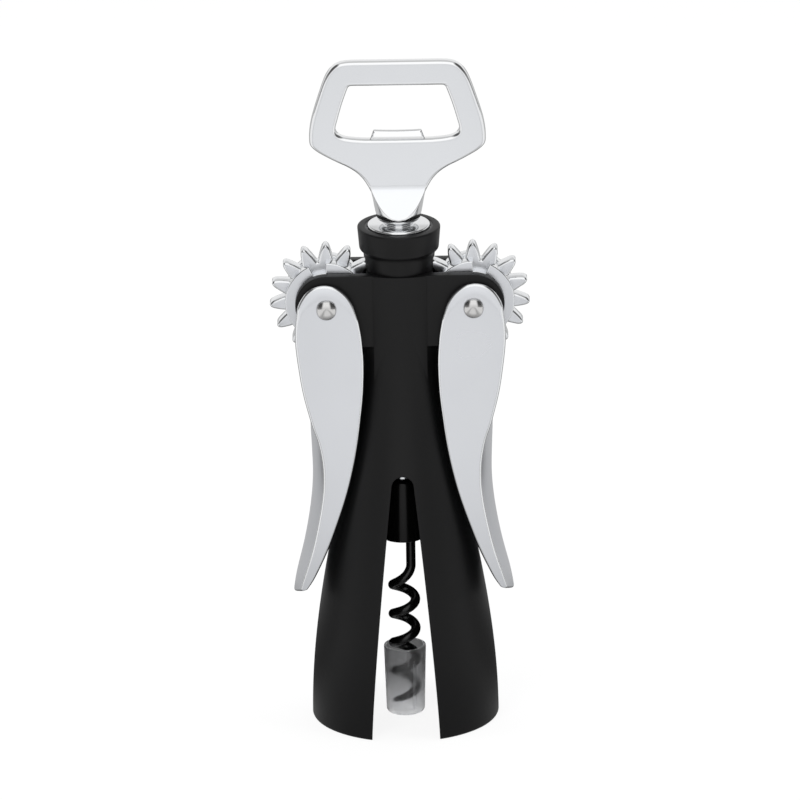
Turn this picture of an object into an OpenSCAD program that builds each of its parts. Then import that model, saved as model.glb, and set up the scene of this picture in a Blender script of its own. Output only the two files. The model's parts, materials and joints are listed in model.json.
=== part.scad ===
// Wing corkscrew with a cap lifter handle. Millimetres, +Z up, front faces -Y.
// The origin is the centre of the bell's rim, the plane that the corkscrew stands on.

/* [Bell and neck] */
// Outer radius of the bell at its rim
bell_rim_r = 27; // [24:0.5:30]
// Outer radius of the neck between the ears
neck_r = 10.6; // [10.4:0.1:11.4]
// Height over which the bell swells from the rim to the neck
bell_h = 130; // [120:1:140]
// Thickness of the bell's wall
bell_wall = 2.6; // [2:0.1:3.4]
// Height of the hollow inside the bell
hollow_h = 82; // [78:1:84]
// Half width of the front and rear slots at the rim
slot_rim_half = 9.8; // [7:0.1:12]
// Half width of the slots at their round top
slot_top_half = 3.2; // [2:0.1:4]
// Height of the slots' round top
slot_h = 77.7; // [66:0.1:78]

/* [Ears] */
// Distance of each lever pivot from the middle
pivot_x = 21.25; // [21.1:0.05:21.5]
// Height of the lever pivots
pivot_z = 127.9; // [122:0.1:132]
// Radius of the ear round its pin
ear_r = 9; // [8:0.1:9.4]
// Thickness of each ear
ear_t = 3.2; // [2.4:0.1:3.6]
// Gap between the front and the rear ear
ear_gap = 11.4; // [10.6:0.1:12]
// Depth of the ears below the pivots, where they meet the neck
ear_drop = 12.7; // [11:0.1:14]
// Half width of the flat front and rear pads of the neck
pad_half = 7.7; // [6:0.1:8.4]
// How far the pads stand proud of the ears at the middle
pad_proud = 1.7; // [1:0.1:2]

/* [Collar] */
// Height of the collar's rim
collar_top = 149.5; // [148:0.1:151]
// Outer radius of the rim
rim_r = 12.05; // [11.6:0.05:13]
// Height of the rim
rim_h = 6.6; // [5:0.1:7]
// Outer radius of the collar's tube
tube_r = 10.35; // [10.1:0.05:10.6]
// Radius of the recess that takes the handle's flange
seat_r = 9.75; // [9.6:0.05:10]
// Depth of that recess
seat_depth = 2.1; // [2:0.05:2.4]
// Length of the spigot that enters the body
spigot_h = 4; // [2:0.5:6]

/* [Rack and gears] */
// Spacing of the rack's rings
rack_pitch = 6; // [5.98:0.01:6.02]
// Teeth on each lever's gear
gear_teeth = 15; // [15]
// Radius at the tips of the gear's teeth
gear_tip_r = 16.4; // [16:0.1:16.4]
// Radius of the gear's shoulders and tooth roots
gear_root_r = 11.9; // [11.5:0.1:11.9]
// Width of the toothed part of each gear
gear_w = 4.6; // [3.6:0.1:5.4]
// Outer radius of the rack's rings
ring_r = 8.6; // [8:0.1:8.7]
// Radius of the rack's core and shaft
shaft_r = 4.7; // [4.4:0.05:4.75]
// Height of the rack's lower end
shaft_bottom = 64; // [60:1:66]
// Travel of the levers, in degrees
lever_swing = 90; // [60:1:90]

/* [Handle and opener] */
// Width of the opener
opener_w = 51; // [44:0.5:58]
// Height of the opener above the collar
opener_h = 51.1; // [46:0.1:60]
// Thickness of the opener's plate
plate_t = 3.6; // [2.6:0.1:4.4]
// Radius of the flange
flange_r = 9.15; // [8.8:0.05:9.2]
// Radius of the neck where it leaves the flange
handle_neck_r = 4.5; // [4.1:0.1:5]
// Height of the lifter's lip inside the opening
lip_h = 3.4; // [2.4:0.1:4.4]
// Width of the lifter's lip
lip_w = 15; // [10:0.5:20]
// Width across the flats of the drive rod
rod_af = 5; // [4.4:0.1:5.2]
// Length of the drive rod below the flange
rod_drop = 51; // [46:1:52]

/* [Screw] */
// Radius of the worm's hub
hub_r = 6.4; // [5.6:0.1:7.5]
// Height of the hub's lower face
hub_bottom = 54; // [50:0.5:58]
// Height of the hub's upper face
hub_top = 73; // [70:0.5:75]
// Thickness of the worm's wire
wire_d = 2.8; // [2.2:0.1:3.2]
// Outer diameter of the worm
worm_d = 9.3; // [8:0.1:9.6]
// Rise of the worm in one turn
worm_pitch = 8.9; // [8:0.1:10]
// Length of straight wire between the hub and the coil
wire_straight = 7.8; // [4:0.2:10]
// Height of the worm's point
worm_tip = 3; // [2.4:0.1:8]
// Length of the tip cap
cap_len = 20.4; // [16:0.2:24]
// Outer radius of the tip cap's mouth
cap_mouth_r = 6.1; // [5.9:0.05:6.6]
// Outer radius of the tip cap's closed end
cap_end_r = 5.5; // [5.45:0.05:6]

/* [Levers] */
// Length of a lever from its pivot to its tip
lever_len = 90.4; // [80:0.2:100]
// Thickness of each cheek
cheek_t = 2.5; // [1.8:0.1:3]
// Thickness of the lever's back
back_t = 3; // [2:0.1:4]
// Height of the cheeks' round top above the pivot
cheek_top_h = 7.1; // [6.4:0.1:8]
// Radius of the pivot pins
pin_r = 2; // [1.5:0.05:2.3]
// Radius of the pins' domed heads
pin_head_r = 2.95; // [2.7:0.05:3.6]

/* [Fits] */
// Radial clearance of a shaft that turns or slides in a bore
running = 0.05; // [0.02:0.01:0.1]
// Side clearance between an ear and what swings beside it
side_gap = 0.3; // [0.2:0.05:0.4]
// Thickness of the washers between the ears and the cheeks
washer_t = 0.5; // [0.4:0.1:0.8]
// Radial clearance round parts that only pass by
passing = 0.3; // [0.25:0.05:0.4]

/* [Hidden] */
$fn = 96;
eps = 0.01;
far = 60;

ear_in = ear_gap / 2;
ear_out = ear_in + ear_t;
ear_top = pivot_z + ear_r;
cheek_in = ear_out + washer_t + side_gap / 2;
cheek_out = cheek_in + cheek_t;
pitch_r = gear_teeth * rack_pitch / 360 * 180 / PI;
tooth_step = 360 / gear_teeth;
bore_r = ring_r + passing;
seat_floor = collar_top - seat_depth;
rim_bottom = collar_top - rim_h;
spigot_bottom = ear_top - spigot_h;
stroke = pitch_r * lever_swing * PI / 180;

// the thrust washer, the flange and the snap ring fill the seat from the floor up
thrust_t = 0.6;
thrust_top = seat_floor + thrust_t;
flange_bottom = thrust_top + running;
flange_step = 0.75;
snap_gap = 0.1;
snap_t = 0.4;
snap_bottom = flange_bottom + flange_step + snap_gap;
snap_depth = 0.5;
rack_top = thrust_top - snap_gap;

// the rings are centred on the gear's gaps: the first tooth beside the mesh is at -6 degrees
mesh_offset = rack_pitch / 4;
rings_below = 2;
rings_above = 3;
ring_root_half = 2.2;
ring_pitch_half = 1.15;
ring_tip_half = 0.5;
rings_low = pivot_z + mesh_offset - rings_below * rack_pitch - ring_root_half;
bush_top = rings_low - stroke - passing;
bush_h = 7;
bush_bottom = bush_top - bush_h;
ledge_r = shaft_r + 0.9;

rod_bottom = flange_bottom - rod_drop;
rod_socket = 11;
rod_hole_bottom = rod_bottom - 2;

black = [0.13, 0.13, 0.13];
satin = [0.78, 0.79, 0.81];
bright = [0.86, 0.87, 0.88];

// ---- shared geometry ----

// a smooth curve through the points of an open list, n steps to each stretch
function spline(p, n) = [
    for (i = [0 : len(p) - 2], k = [0 : n - 1])
        let (a = p[max(i - 1, 0)], b = p[i], c = p[i + 1], d = p[min(i + 2, len(p) - 1)], t = k / n)
        0.5 * (2 * b + (c - a) * t + (2 * a - 5 * b + 4 * c - d) * t * t
            + (3 * b - 3 * c + d - a) * t * t * t),
    p[len(p) - 1]
];
function flip(p) = [for (i = [len(p) - 1 : -1 : 0]) p[i]];
function flip_x(p) = [for (q = flip(p)) [-q[0], q[1]]];
// how far the front of the neck's pad stands from the axis: a wide arc
pad_arc_r = 21;
pad_front = ear_out + pad_proud;

// turns a drawing of the front view into a plate from y0 to y1
module plate_y(y0, y1) {
    translate([0, y1, 0]) rotate([90, 0, 0]) linear_extrude(y1 - y0) children();
}
module rod_y(r, y0, y1) {
    translate([0, y1, 0]) rotate([90, 0, 0]) cylinder(r = r, h = y1 - y0);
}
module at_pivot(side) {
    translate([side * pivot_x, 0, pivot_z]) children();
}
module hexagon_rod(af, z0, z1) {
    translate([0, 0, z0]) rotate([0, 0, 30]) cylinder(r = af / sqrt(3), h = z1 - z0, $fn = 6);
}
module tube(r_out, r_in, z0, z1) {
    difference() {
        translate([0, 0, z0]) cylinder(r = r_out, h = z1 - z0);
        translate([0, 0, z0 - 1]) cylinder(r = r_in, h = z1 - z0 + 2);
    }
}

// ---- body ----

// the bell swells from the neck to the rim along half a cosine wave
function bell_r(z) = neck_r + (bell_rim_r - neck_r) * (1 + cos(180 * min(z, bell_h) / bell_h)) / 2;
bell_steps = 26;
bell_round = 0.8;
bell_line = [for (i = [0 : bell_steps]) let (z = bell_h * i / bell_steps) [bell_r(z), z]];

module bell_solid() {
    rotate_extrude() polygon(concat(
        [[0, 0], [bell_rim_r - bell_round, 0]],
        [for (p = bell_line) if (p[1] > bell_round) p],
        [[neck_r, ear_top], [0, ear_top]]
    ));
}
hollow_steps = 16;
module bell_hollow() {
    rotate_extrude() polygon(concat(
        [[0, -1], [bell_rim_r - bell_wall, -1]],
        [for (i = [0 : hollow_steps]) let (z = hollow_h * i / hollow_steps) [bell_r(z) - bell_wall, z]],
        [[0, hollow_h]]
    ));
}
// half width of the slot at height z: nearly straight, easing in towards the top
function slot_half(z) = slot_top_half
    + (slot_rim_half - slot_top_half) * (1 - pow(z / (slot_h - slot_top_half), 1.25));
slot_steps = 8;
module slot_outline() {
    straight = slot_h - slot_top_half;
    side = [for (i = [0 : slot_steps]) let (z = straight * i / slot_steps) [slot_half(z), z]];
    polygon(concat([[-slot_rim_half, -1], [slot_rim_half, -1]], side, flip_x(side)));
    translate([0, straight]) circle(r = slot_top_half);
}
// the ears in front view: two round bosses joined by a bar across the neck
ear_waist = 13;
module ear_outline() {
    polygon([
        [-pivot_x, ear_top], [-pivot_x, pivot_z - ear_r], [-ear_waist, pivot_z - ear_drop],
        [ear_waist, pivot_z - ear_drop], [pivot_x, pivot_z - ear_r], [pivot_x, ear_top]
    ]);
    for (side = [-1, 1]) translate([side * pivot_x, pivot_z]) circle(r = ear_r);
}
// the pad: a shallow arc across the front or the rear of the neck, whose tail sinks into the bell
pad_tail = 12;
module pad() {
    translate([0, 0, pivot_z - ear_drop - pad_tail]) linear_extrude(ear_drop + pad_tail + ear_r) intersection() {
        translate([0, pad_arc_r - pad_front]) circle(r = pad_arc_r);
        translate([-pad_half, -pad_front - 1]) square([2 * pad_half, pad_front]);
    }
}
module gear_pocket(side) {
    at_pivot(side) rod_y(gear_tip_r + passing, -ear_in, ear_in);
}

module body_shell() {
    color(black) difference() {
        union() {
            bell_solid();
            for (side = [-1, 1]) plate_y(min(side * ear_in, side * ear_out), max(side * ear_in, side * ear_out))
                ear_outline();
            pad();
            mirror([0, 1, 0]) pad();
        }
        bell_hollow();
        plate_y(-far, far) slot_outline();
        // bores from the top down: collar spigot, rack, bush, shaft
        translate([0, 0, spigot_bottom]) cylinder(r = seat_r, h = far);
        translate([0, 0, bush_bottom]) cylinder(r = bore_r, h = far);
        translate([0, 0, hollow_h - 1]) cylinder(r = ledge_r, h = far);
        for (side = [-1, 1]) {
            gear_pocket(side);
            at_pivot(side) rod_y(pin_r, -far, far);
        }
    }
}

// ---- collar and the handle's bearing ----

rim_draft = 0.8;
rim_step = 1.1;
tube_draft = 0.4;
module top_collar() {
    color(black) difference() {
        union() {
            rotate_extrude() polygon([
                [0, ear_top], [tube_r - tube_draft, ear_top], [tube_r, rim_bottom - rim_step],
                [rim_r - rim_draft, rim_bottom], [rim_r - 0.05, collar_top - 0.5],
                [rim_r - 0.5, collar_top], [0, collar_top]
            ]);
            translate([0, 0, spigot_bottom + running]) cylinder(r = seat_r - running, h = spigot_h);
        }
        translate([0, 0, 0]) cylinder(r = bore_r, h = far * 3);
        translate([0, 0, seat_floor]) cylinder(r = seat_r, h = far);
        tube_groove();
        // only the teeth reach into the collar
        for (side = [-1, 1]) at_pivot(side)
            rod_y(gear_tip_r + passing, -gear_w / 2 - passing, gear_w / 2 + passing);
    }
}
module tube_groove() {
    translate([0, 0, snap_bottom]) cylinder(r = seat_r + snap_depth, h = snap_t);
}
module snap_ring() {
    color("dimgray") difference() {
        tube(seat_r + snap_depth - running, flange_r + 0.1, snap_bottom + eps, snap_bottom + snap_t - eps);
        // the ring's open ends
        translate([-1.2, 0, snap_bottom - 1]) cube([2.4, far, 3]);
    }
}
module thrust_washer() {
    color("ivory") tube(seat_r - running, bore_r + running, seat_floor, thrust_top);
}
module guide_bush() {
    color("ivory") tube(bore_r, shaft_r + running, bush_bottom, bush_top);
}

// ---- handle ----

// the left edge of the opener from the middle of its top down to the neck,
// in half widths across and in heights above the collar
opener_edge = [
    [0, 1], [-0.3, 1], [-0.56, 1], [-0.68, 0.991], [-0.765, 0.945], [-0.885, 0.79], [-0.965, 0.66],
    [-0.995, 0.56], [-0.985, 0.485], [-0.9, 0.44], [-0.75, 0.395], [-0.6, 0.367], [-0.49, 0.335],
    [-0.39, 0.288], [-0.325, 0.23], [-0.285, 0.15], [-0.25, 0.06]
];
opening_edge = [
    [0, 0.838], [-0.3, 0.838], [-0.51, 0.836], [-0.545, 0.815], [-0.61, 0.72], [-0.695, 0.61],
    [-0.695, 0.555], [-0.62, 0.535], [-0.35, 0.516], [0, 0.508]
];
function scaled(p) = [for (q = p) [q[0] * opener_w / 2, collar_top + q[1] * opener_h]];
module closed_outline(half) {
    left = spline(scaled(half), 5);
    polygon(concat(left, flip_x([for (i = [1 : len(left) - 1]) left[i]])));
}
module opener_outline() { closed_outline(opener_edge); }
module opening_outline() { closed_outline(opening_edge); }

// the neck is a round trumpet that two sloping flats turn into the plate
neck_flare = 3;
neck_top = 0.36 * opener_h;
// radius in neck radii, height as a share of the neck
trumpet = [[1.08, 0.082], [1.41, neck_flare / neck_top], [1.64, 0.45], [1.87, 0.72], [2.09, 1]];
// how far a flat stands proud of the plate in neck radii, height as a share of the neck
neck_flat = [[1.11, 0.185], [0.473, 0.435], [0.178, 0.543], [0.04, 0.61], [0, 0.67], [0, 1]];
module handle_neck() {
    flat = [for (q = neck_flat) [plate_t / 2 + q[0] * handle_neck_r, q[1] * neck_top]];
    foot = [flat[0][0], -neck_top];
    intersection() {
        rotate_extrude() polygon(concat(
            [[0, collar_top - eps], [handle_neck_r, collar_top - eps]],
            [for (q = trumpet) [q[0] * handle_neck_r, collar_top + q[1] * neck_top]],
            [[0, collar_top + neck_top]]
        ));
        translate([-far, 0, collar_top]) rotate([90, 0, 90]) linear_extrude(2 * far)
            polygon(concat([foot], flat, flip_x(flat), [[-foot[0], foot[1]]]));
    }
}
// the lifter's lip leans a little to the front
lip_lean = 0.9;
lip_t = 2;
module lifter_lip() {
    base = collar_top + 0.508 * opener_h;
    translate([-lip_w / 2, 0, base]) rotate([90, 0, 90]) linear_extrude(lip_w) polygon([
        [-lip_t / 2, -1], [lip_t / 2, -1], [lip_t / 2 - lip_lean, lip_h], [-lip_t / 2 - lip_lean, lip_h]
    ]);
}
module opener_handle() {
    color(bright) difference() {
        union() {
            translate([0, 0, flange_bottom]) cylinder(r = seat_r - 0.1, h = flange_step);
            translate([0, 0, flange_bottom]) cylinder(r = flange_r, h = collar_top - flange_bottom);
            handle_neck();
            difference() {
                plate_y(-plate_t / 2, plate_t / 2) opener_outline();
                plate_y(-far, far) opening_outline();
            }
            lifter_lip();
        }
        hexagon_rod(rod_af, flange_bottom - 1, flange_bottom + rod_socket);
    }
}
module drive_rod() {
    color("silver") intersection() {
        hexagon_rod(rod_af, rod_bottom, flange_bottom + rod_socket);
        translate([0, 0, rod_bottom]) cylinder(r1 = rod_af / 2, r2 = rod_af, h = rod_af / 2);
    }
    color("silver") hexagon_rod(rod_af, rod_bottom + rod_af / 4, flange_bottom + rod_socket);
}

// ---- rack and screw ----

module rack_ring(z) {
    pitch_from_axis = pivot_x - pitch_r;
    translate([0, 0, z]) rotate_extrude() polygon([
        [shaft_r - 1, -ring_root_half], [shaft_r, -ring_root_half], [pitch_from_axis, -ring_pitch_half],
        [ring_r, -ring_tip_half], [ring_r, ring_tip_half],
        [pitch_from_axis, ring_pitch_half], [shaft_r, ring_root_half], [shaft_r - 1, ring_root_half]
    ]);
}
spigot_r = 3;
module rack() {
    color(bright) difference() {
        union() {
            translate([0, 0, hub_top]) cylinder(r = shaft_r, h = rack_top - hub_top);
            translate([0, 0, shaft_bottom]) cylinder(r = spigot_r, h = hub_top - shaft_bottom + 1);
            intersection() {
                for (i = [-rings_below : rings_above]) rack_ring(pivot_z + mesh_offset + i * rack_pitch);
                cylinder(r = far, h = rack_top);
            }
        }
        hexagon_rod(rod_af + 4 * running, rod_hole_bottom, far * 3);
        hub_pin_hole();
    }
}
hub_pin_r = 1;
hub_pin_z = (shaft_bottom + hub_top) / 2;
module hub_pin_hole() {
    translate([-far, 0, hub_pin_z]) rotate([0, 90, 0]) cylinder(r = hub_pin_r, h = 2 * far);
}
module hub_pin() {
    pin_len = 2 * hub_r - 0.6;
    color("silver") translate([-pin_len / 2, 0, hub_pin_z]) rotate([0, 90, 0])
        cylinder(r = hub_pin_r, h = pin_len);
}
// where the wire leaves the hub, as an angle about the axis
helix_r = (worm_d - wire_d) / 2;
shank_h = 7;
shank_top = hub_bottom + shank_h;
bend_top = hub_bottom - wire_straight;
bend_h = 8;
wire_start = -50;
module worm_hub() {
    edge = 1;
    color(black) difference() {
        rotate_extrude() polygon([
            [0, hub_bottom], [hub_r - 2 * edge, hub_bottom], [hub_r - edge, hub_bottom + edge / 2],
            [hub_r - edge / 2, hub_bottom + 1.5 * edge], [hub_r, hub_top - edge],
            [hub_r - edge, hub_top], [0, hub_top]
        ]);
        translate([0, 0, shaft_bottom]) cylinder(r = spigot_r, h = far);
        rotate([0, 0, wire_start]) translate([helix_r, 0, 0])
            cylinder(r = wire_d / 2 + running, h = shank_top + running);
        hub_pin_hole();
    }
}

// The worm's centre line goes straight down out of the hub, eases into the helix and ends in a point.
function turned(z) = z > bend_top ? 0
    : z > bend_top - bend_h ? pow(bend_top - z, 2) / (2 * bend_h)
    : bend_top - bend_h / 2 - z;
function turn_rate(z) = z > bend_top ? 0 : min((bend_top - z) / bend_h, 1);
function wire_angle(z) = wire_start - 360 * turned(z) / worm_pitch;
// the point is ground over the last half turn
point_h = worm_pitch / 2;
function wire_r(z) = wire_d / 2 * sqrt(min(1, max(0.02, (z - worm_tip) / point_h)));
wire_sides = 8;
wire_rings = 88;
wire_top = bend_top + 2;
wire_z = [for (i = [0 : wire_rings]) wire_top + (worm_tip - wire_top) * i / wire_rings];
function wire_ring(z) =
    let (a = wire_angle(z), rise = 1, run = 2 * PI * helix_r * turn_rate(z) / worm_pitch,
        out = [cos(a), sin(a), 0], along = [-sin(a) * run, cos(a) * run, rise],
        across = cross(along, out) / norm(along))
    [for (k = [0 : wire_sides - 1]) let (b = 360 * k / wire_sides)
        helix_r * out + [0, 0, z] + wire_r(z) * (cos(b) * out - sin(b) * across)];
module sweep(rings) {
    n = len(rings[0]);
    m = len(rings);
    points = [for (r = rings) each r];
    walls = [for (i = [0 : m - 2], k = [0 : n - 1]) let (a = i * n + k, b = i * n + (k + 1) % n)
        each [[a, a + n, b], [b, a + n, b + n]]];
    // each end is closed by triangles between the two halves of its ring
    first = [for (k = [0 : n / 2 - 2]) each [[k, k + 1, n - 1 - k], [k + 1, n - 2 - k, n - 1 - k]]];
    last = [for (f = first) [f[0], f[2], f[1]] + (m - 1) * n * [1, 1, 1]];
    polyhedron(points, concat(walls, first, last));
}
// the wire's straight end in the hub is a round shank, a little thicker than the faceted coil
module worm() {
    color(black) union() {
        sweep([for (z = wire_z) wire_ring(z)]);
        rotate([0, 0, wire_start]) translate([helix_r, 0, bend_top + 1])
            cylinder(r = wire_d / 2 + running / 2, h = shank_top - bend_top - 1);
    }
}
cap_bottom = 0.2;
cap_wall = 0.85;
cap_floor = 1.2;
module tip_cap() {
    cap_round = 1.2;
    color([0.8, 0.82, 0.84, 0.6]) difference() {
        rotate_extrude() polygon([
            [0, cap_bottom], [cap_end_r - cap_round, cap_bottom],
            [cap_end_r - cap_round / 3, cap_bottom + cap_round / 3], [cap_end_r, cap_bottom + cap_round],
            [cap_mouth_r, cap_bottom + cap_len], [0, cap_bottom + cap_len]
        ]);
        translate([0, 0, cap_bottom + cap_floor])
            cylinder(r1 = cap_end_r - cap_wall + 0.02, r2 = cap_mouth_r - cap_wall, h = cap_len - cap_floor + eps);
    }
}

// ---- levers ----

// Depth below the pivot as a share of the lever's length, then how far the cheek's inner
// edge, its outer edge and the crown of the back lie from the line through the pivot.
lever_line = [
    [0.04, 9.2, -8.95, -7.4],
    [0.08, 9.85, -9.2, -8.4],
    [0.12, 10.25, -9.15, -8.6],
    [0.188, 10.6, -8.5, -8.2],
    [0.288, 10.3, -7.1, -7.1],
    [0.392, 9.3, -4.75, -5.4],
    [0.455, 8.55, -2.95, -5.05],
    [0.52, 7.55, -1.9, -4.8],
    [0.588, 6.2, -1.68, -4.65],
    [0.655, 4.55, -2.25, -4.95],
    [0.734, 2.2, -3.5, -5.85],
    [0.82, -0.65, -5.25, -7.35],
    [0.909, -4.4, -7.7, -9.4],
    [0.949, -6.7, -8.75, -10]
];
// the round top of a cheek from its outer to its inner side, in heights of the top
cheek_top = [[-1.22, -0.26], [-1.18, 0.05], [-1.06, 0.35], [-0.83, 0.68], [-0.5, 0.91], [-0.05, 1],
    [0.42, 0.88], [0.79, 0.6], [1.05, 0.22], [1.2, -0.2]];
lever_curve = spline(lever_line, 3);
// the back starts below the gear's teeth and ends in a tongue that is longer at the middle
back_start = gear_tip_r + 0.8;
tongue = 0.051 * lever_len;
back_curve = [for (p = lever_curve) if (p[0] * lever_len > back_start) p];
back_sides = 8;

module cheek_outline() {
    inner = [for (p = lever_curve) [p[1], -p[0] * lever_len]];
    outer = [for (p = lever_curve) [p[2], -p[0] * lever_len]];
    tail = 0.955 * lever_len;
    polygon(concat(cheek_top_h * spline(cheek_top, 3), inner, [[-7.5, -tail], [-8.25, -tail]], flip(outer)));
}
// one station of the back: the crowned outer face, then the inner face
function back_row(p, drop) =
    let (half = cheek_out - 0.3, edge = p[2] + 0.15, crown = min(p[3], edge))
    concat(
        [for (k = [0 : back_sides]) let (y = half * (2 * k / back_sides - 1), s = y * y / (half * half))
            [crown + (edge - crown) * s, y, -p[0] * lever_len - drop * (1 - s)]],
        [for (k = [back_sides : -1 : 0]) let (y = half * (2 * k / back_sides - 1), s = y * y / (half * half))
            [crown + (edge - crown) * s + min(back_t, p[1] - p[2] - 0.3), y, -p[0] * lever_len - drop * (1 - s)]]
    );
module lever_back() {
    last = len(back_curve) - 1;
    sweep([for (i = [0 : last]) back_row(back_curve[i], tongue * pow(i / last, 6))]);
}
// a tooth is a rounded point, given by its half thickness from the root to the tip
tooth_root_half = 2.1;
tooth_pitch_half = 1.4;
tooth_top_half = 1.12;
tooth_tip_half = 0.8;
module gear_tooth() {
    r0 = gear_root_r - 1;
    r1 = gear_tip_r - 1.1;
    r2 = gear_tip_r - 0.5;
    polygon([
        [r0, -tooth_root_half], [gear_root_r, -tooth_root_half], [pitch_r, -tooth_pitch_half],
        [r1, -tooth_top_half], [r2, -tooth_tip_half], [gear_tip_r, -0.3], [gear_tip_r, 0.3],
        [r2, tooth_tip_half], [r1, tooth_top_half], [pitch_r, tooth_pitch_half],
        [gear_root_r, tooth_root_half], [r0, tooth_root_half]
    ]);
}
// the shoulders beside the teeth have a notch, one tooth wide, above the pivot
notch_from = 90;
notch_depth = 3;
module gear() {
    shoulder = ear_in - side_gap;
    plate_y(-gear_w / 2, gear_w / 2) for (i = [0 : gear_teeth - 1])
        rotate(90 + i * tooth_step) gear_tooth();
    rod_y(gear_root_r, -gear_w / 2, gear_w / 2);
    difference() {
        rod_y(gear_root_r, -shoulder, shoulder);
        for (side = [-1, 1]) plate_y(min(side * gear_w / 2, side * far), max(side * gear_w / 2, side * far))
            polygon([
                (gear_root_r - notch_depth) * [cos(notch_from), sin(notch_from)],
                2 * gear_root_r * [cos(notch_from), sin(notch_from)],
                2 * gear_root_r * [cos(notch_from + tooth_step), sin(notch_from + tooth_step)],
                (gear_root_r - notch_depth) * [cos(notch_from + tooth_step), sin(notch_from + tooth_step)]
            ]);
    }
}
// the rib that carries the gear from the back, in front view
rib_line = [[-0.075, -0.11], [0.028, -0.12], [0.011, -0.22], [-0.035, -0.37], [-0.055, -0.3], [-0.075, -0.2]];
module gear_rib() {
    shoulder = ear_in - side_gap;
    plate_y(-shoulder, shoulder) polygon(lever_len * rib_line);
}
module lever() {
    color(satin) difference() {
        union() {
            for (side = [-1, 1]) plate_y(min(side * cheek_in, side * cheek_out), max(side * cheek_in, side * cheek_out))
                cheek_outline();
            lever_back();
            gear();
            gear_rib();
        }
        rod_y(pin_r + running, -far, far);
    }
}
module left_lever() { at_pivot(-1) lever(); }
module right_lever() { at_pivot(1) mirror([1, 0, 0]) lever(); }

// ---- pivots ----

head_gap = 0.15;
head_h = 1.5;
washer_rim = 2.4;
pin_tail = 1.4;
// a low dome of radius pin_head_r that faces -Y from the plane y = 0
module dome(r, h) {
    ball = (r * r + h * h) / (2 * h);
    intersection() {
        translate([0, ball - h, 0]) sphere(r = ball);
        rod_y(r + 1, -h - 1, 0);
    }
}
module pivot_pin(side) {
    color("silver") at_pivot(side) {
        rod_y(pin_r, -cheek_out - head_gap, cheek_out + pin_tail);
        translate([0, -cheek_out - head_gap, 0]) dome(pin_head_r, head_h);
    }
}
module pin_cap(side) {
    color("silver") at_pivot(side) difference() {
        union() {
            rod_y(pin_head_r, cheek_out + head_gap, cheek_out + pin_tail);
            translate([0, cheek_out + pin_tail, 0]) mirror([0, 1, 0]) dome(pin_head_r - 0.2, 0.9);
        }
        rod_y(pin_r, -far, cheek_out + pin_tail);
    }
}
module pivot_washers(side) {
    color("gainsboro") at_pivot(side) for (face = [0, 1]) mirror([0, face, 0]) difference() {
        rod_y(pin_r + washer_rim, -ear_out - washer_t, -ear_out);
        rod_y(pin_r + running, -far, 0);
    }
}
module left_pivot_pin() { pivot_pin(-1); }
module right_pivot_pin() { pivot_pin(1); }
module left_pin_cap() { pin_cap(-1); }
module right_pin_cap() { pin_cap(1); }
module left_pivot_washers() { pivot_washers(-1); }
module right_pivot_washers() { pivot_washers(1); }

body_shell();
top_collar();
guide_bush();
thrust_washer();
snap_ring();
opener_handle();
drive_rod();
rack();
worm_hub();
hub_pin();
worm();
tip_cap();
left_lever();
right_lever();
left_pivot_pin();
right_pivot_pin();
left_pivot_washers();
right_pivot_washers();
left_pin_cap();
right_pin_cap();
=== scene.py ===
"""Looks of a wing corkscrew with a cap lifter handle, on a pale studio floor.

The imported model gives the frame: bodies, joints and nodes. Each sub-assembly below is a class that works
out its visible surfaces in millimetres with numpy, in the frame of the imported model, and dresses them.
+Z runs up along the worm, the front with the slot faces -Y, and +X is the side of the right lever.
"""

from __future__ import annotations

import json
import logging
import math
from dataclasses import dataclass, field
from enum import Enum
from typing import Sequence

import bmesh
import bpy
import numpy as np
from mathutils import Matrix, Vector
from numpy.typing import NDArray

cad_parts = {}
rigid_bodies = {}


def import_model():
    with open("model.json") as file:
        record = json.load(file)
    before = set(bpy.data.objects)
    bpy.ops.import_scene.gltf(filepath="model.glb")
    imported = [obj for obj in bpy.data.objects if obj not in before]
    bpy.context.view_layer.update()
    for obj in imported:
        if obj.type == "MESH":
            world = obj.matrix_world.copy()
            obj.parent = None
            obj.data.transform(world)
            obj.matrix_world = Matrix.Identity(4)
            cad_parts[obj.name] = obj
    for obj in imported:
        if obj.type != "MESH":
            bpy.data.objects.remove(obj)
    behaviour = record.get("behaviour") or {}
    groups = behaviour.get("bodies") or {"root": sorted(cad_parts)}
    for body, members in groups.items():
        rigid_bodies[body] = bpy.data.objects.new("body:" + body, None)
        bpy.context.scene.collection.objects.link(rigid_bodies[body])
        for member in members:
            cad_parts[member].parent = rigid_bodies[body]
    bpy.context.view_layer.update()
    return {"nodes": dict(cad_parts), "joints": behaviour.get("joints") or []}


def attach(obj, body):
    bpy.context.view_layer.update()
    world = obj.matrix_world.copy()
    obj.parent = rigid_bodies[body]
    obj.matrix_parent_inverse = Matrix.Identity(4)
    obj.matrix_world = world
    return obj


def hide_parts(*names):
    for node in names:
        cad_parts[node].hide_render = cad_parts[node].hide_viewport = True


Array = NDArray[np.float64]
Points = Sequence[Sequence[float]]
MM = 0.001
LOG = logging.getLogger("corkscrew")


class Side(Enum):
    """The two wings, by the sign of their x."""

    LEFT = -1
    RIGHT = 1

    @property
    def label(self) -> str:
        """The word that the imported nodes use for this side."""
        return self.name.lower()


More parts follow.
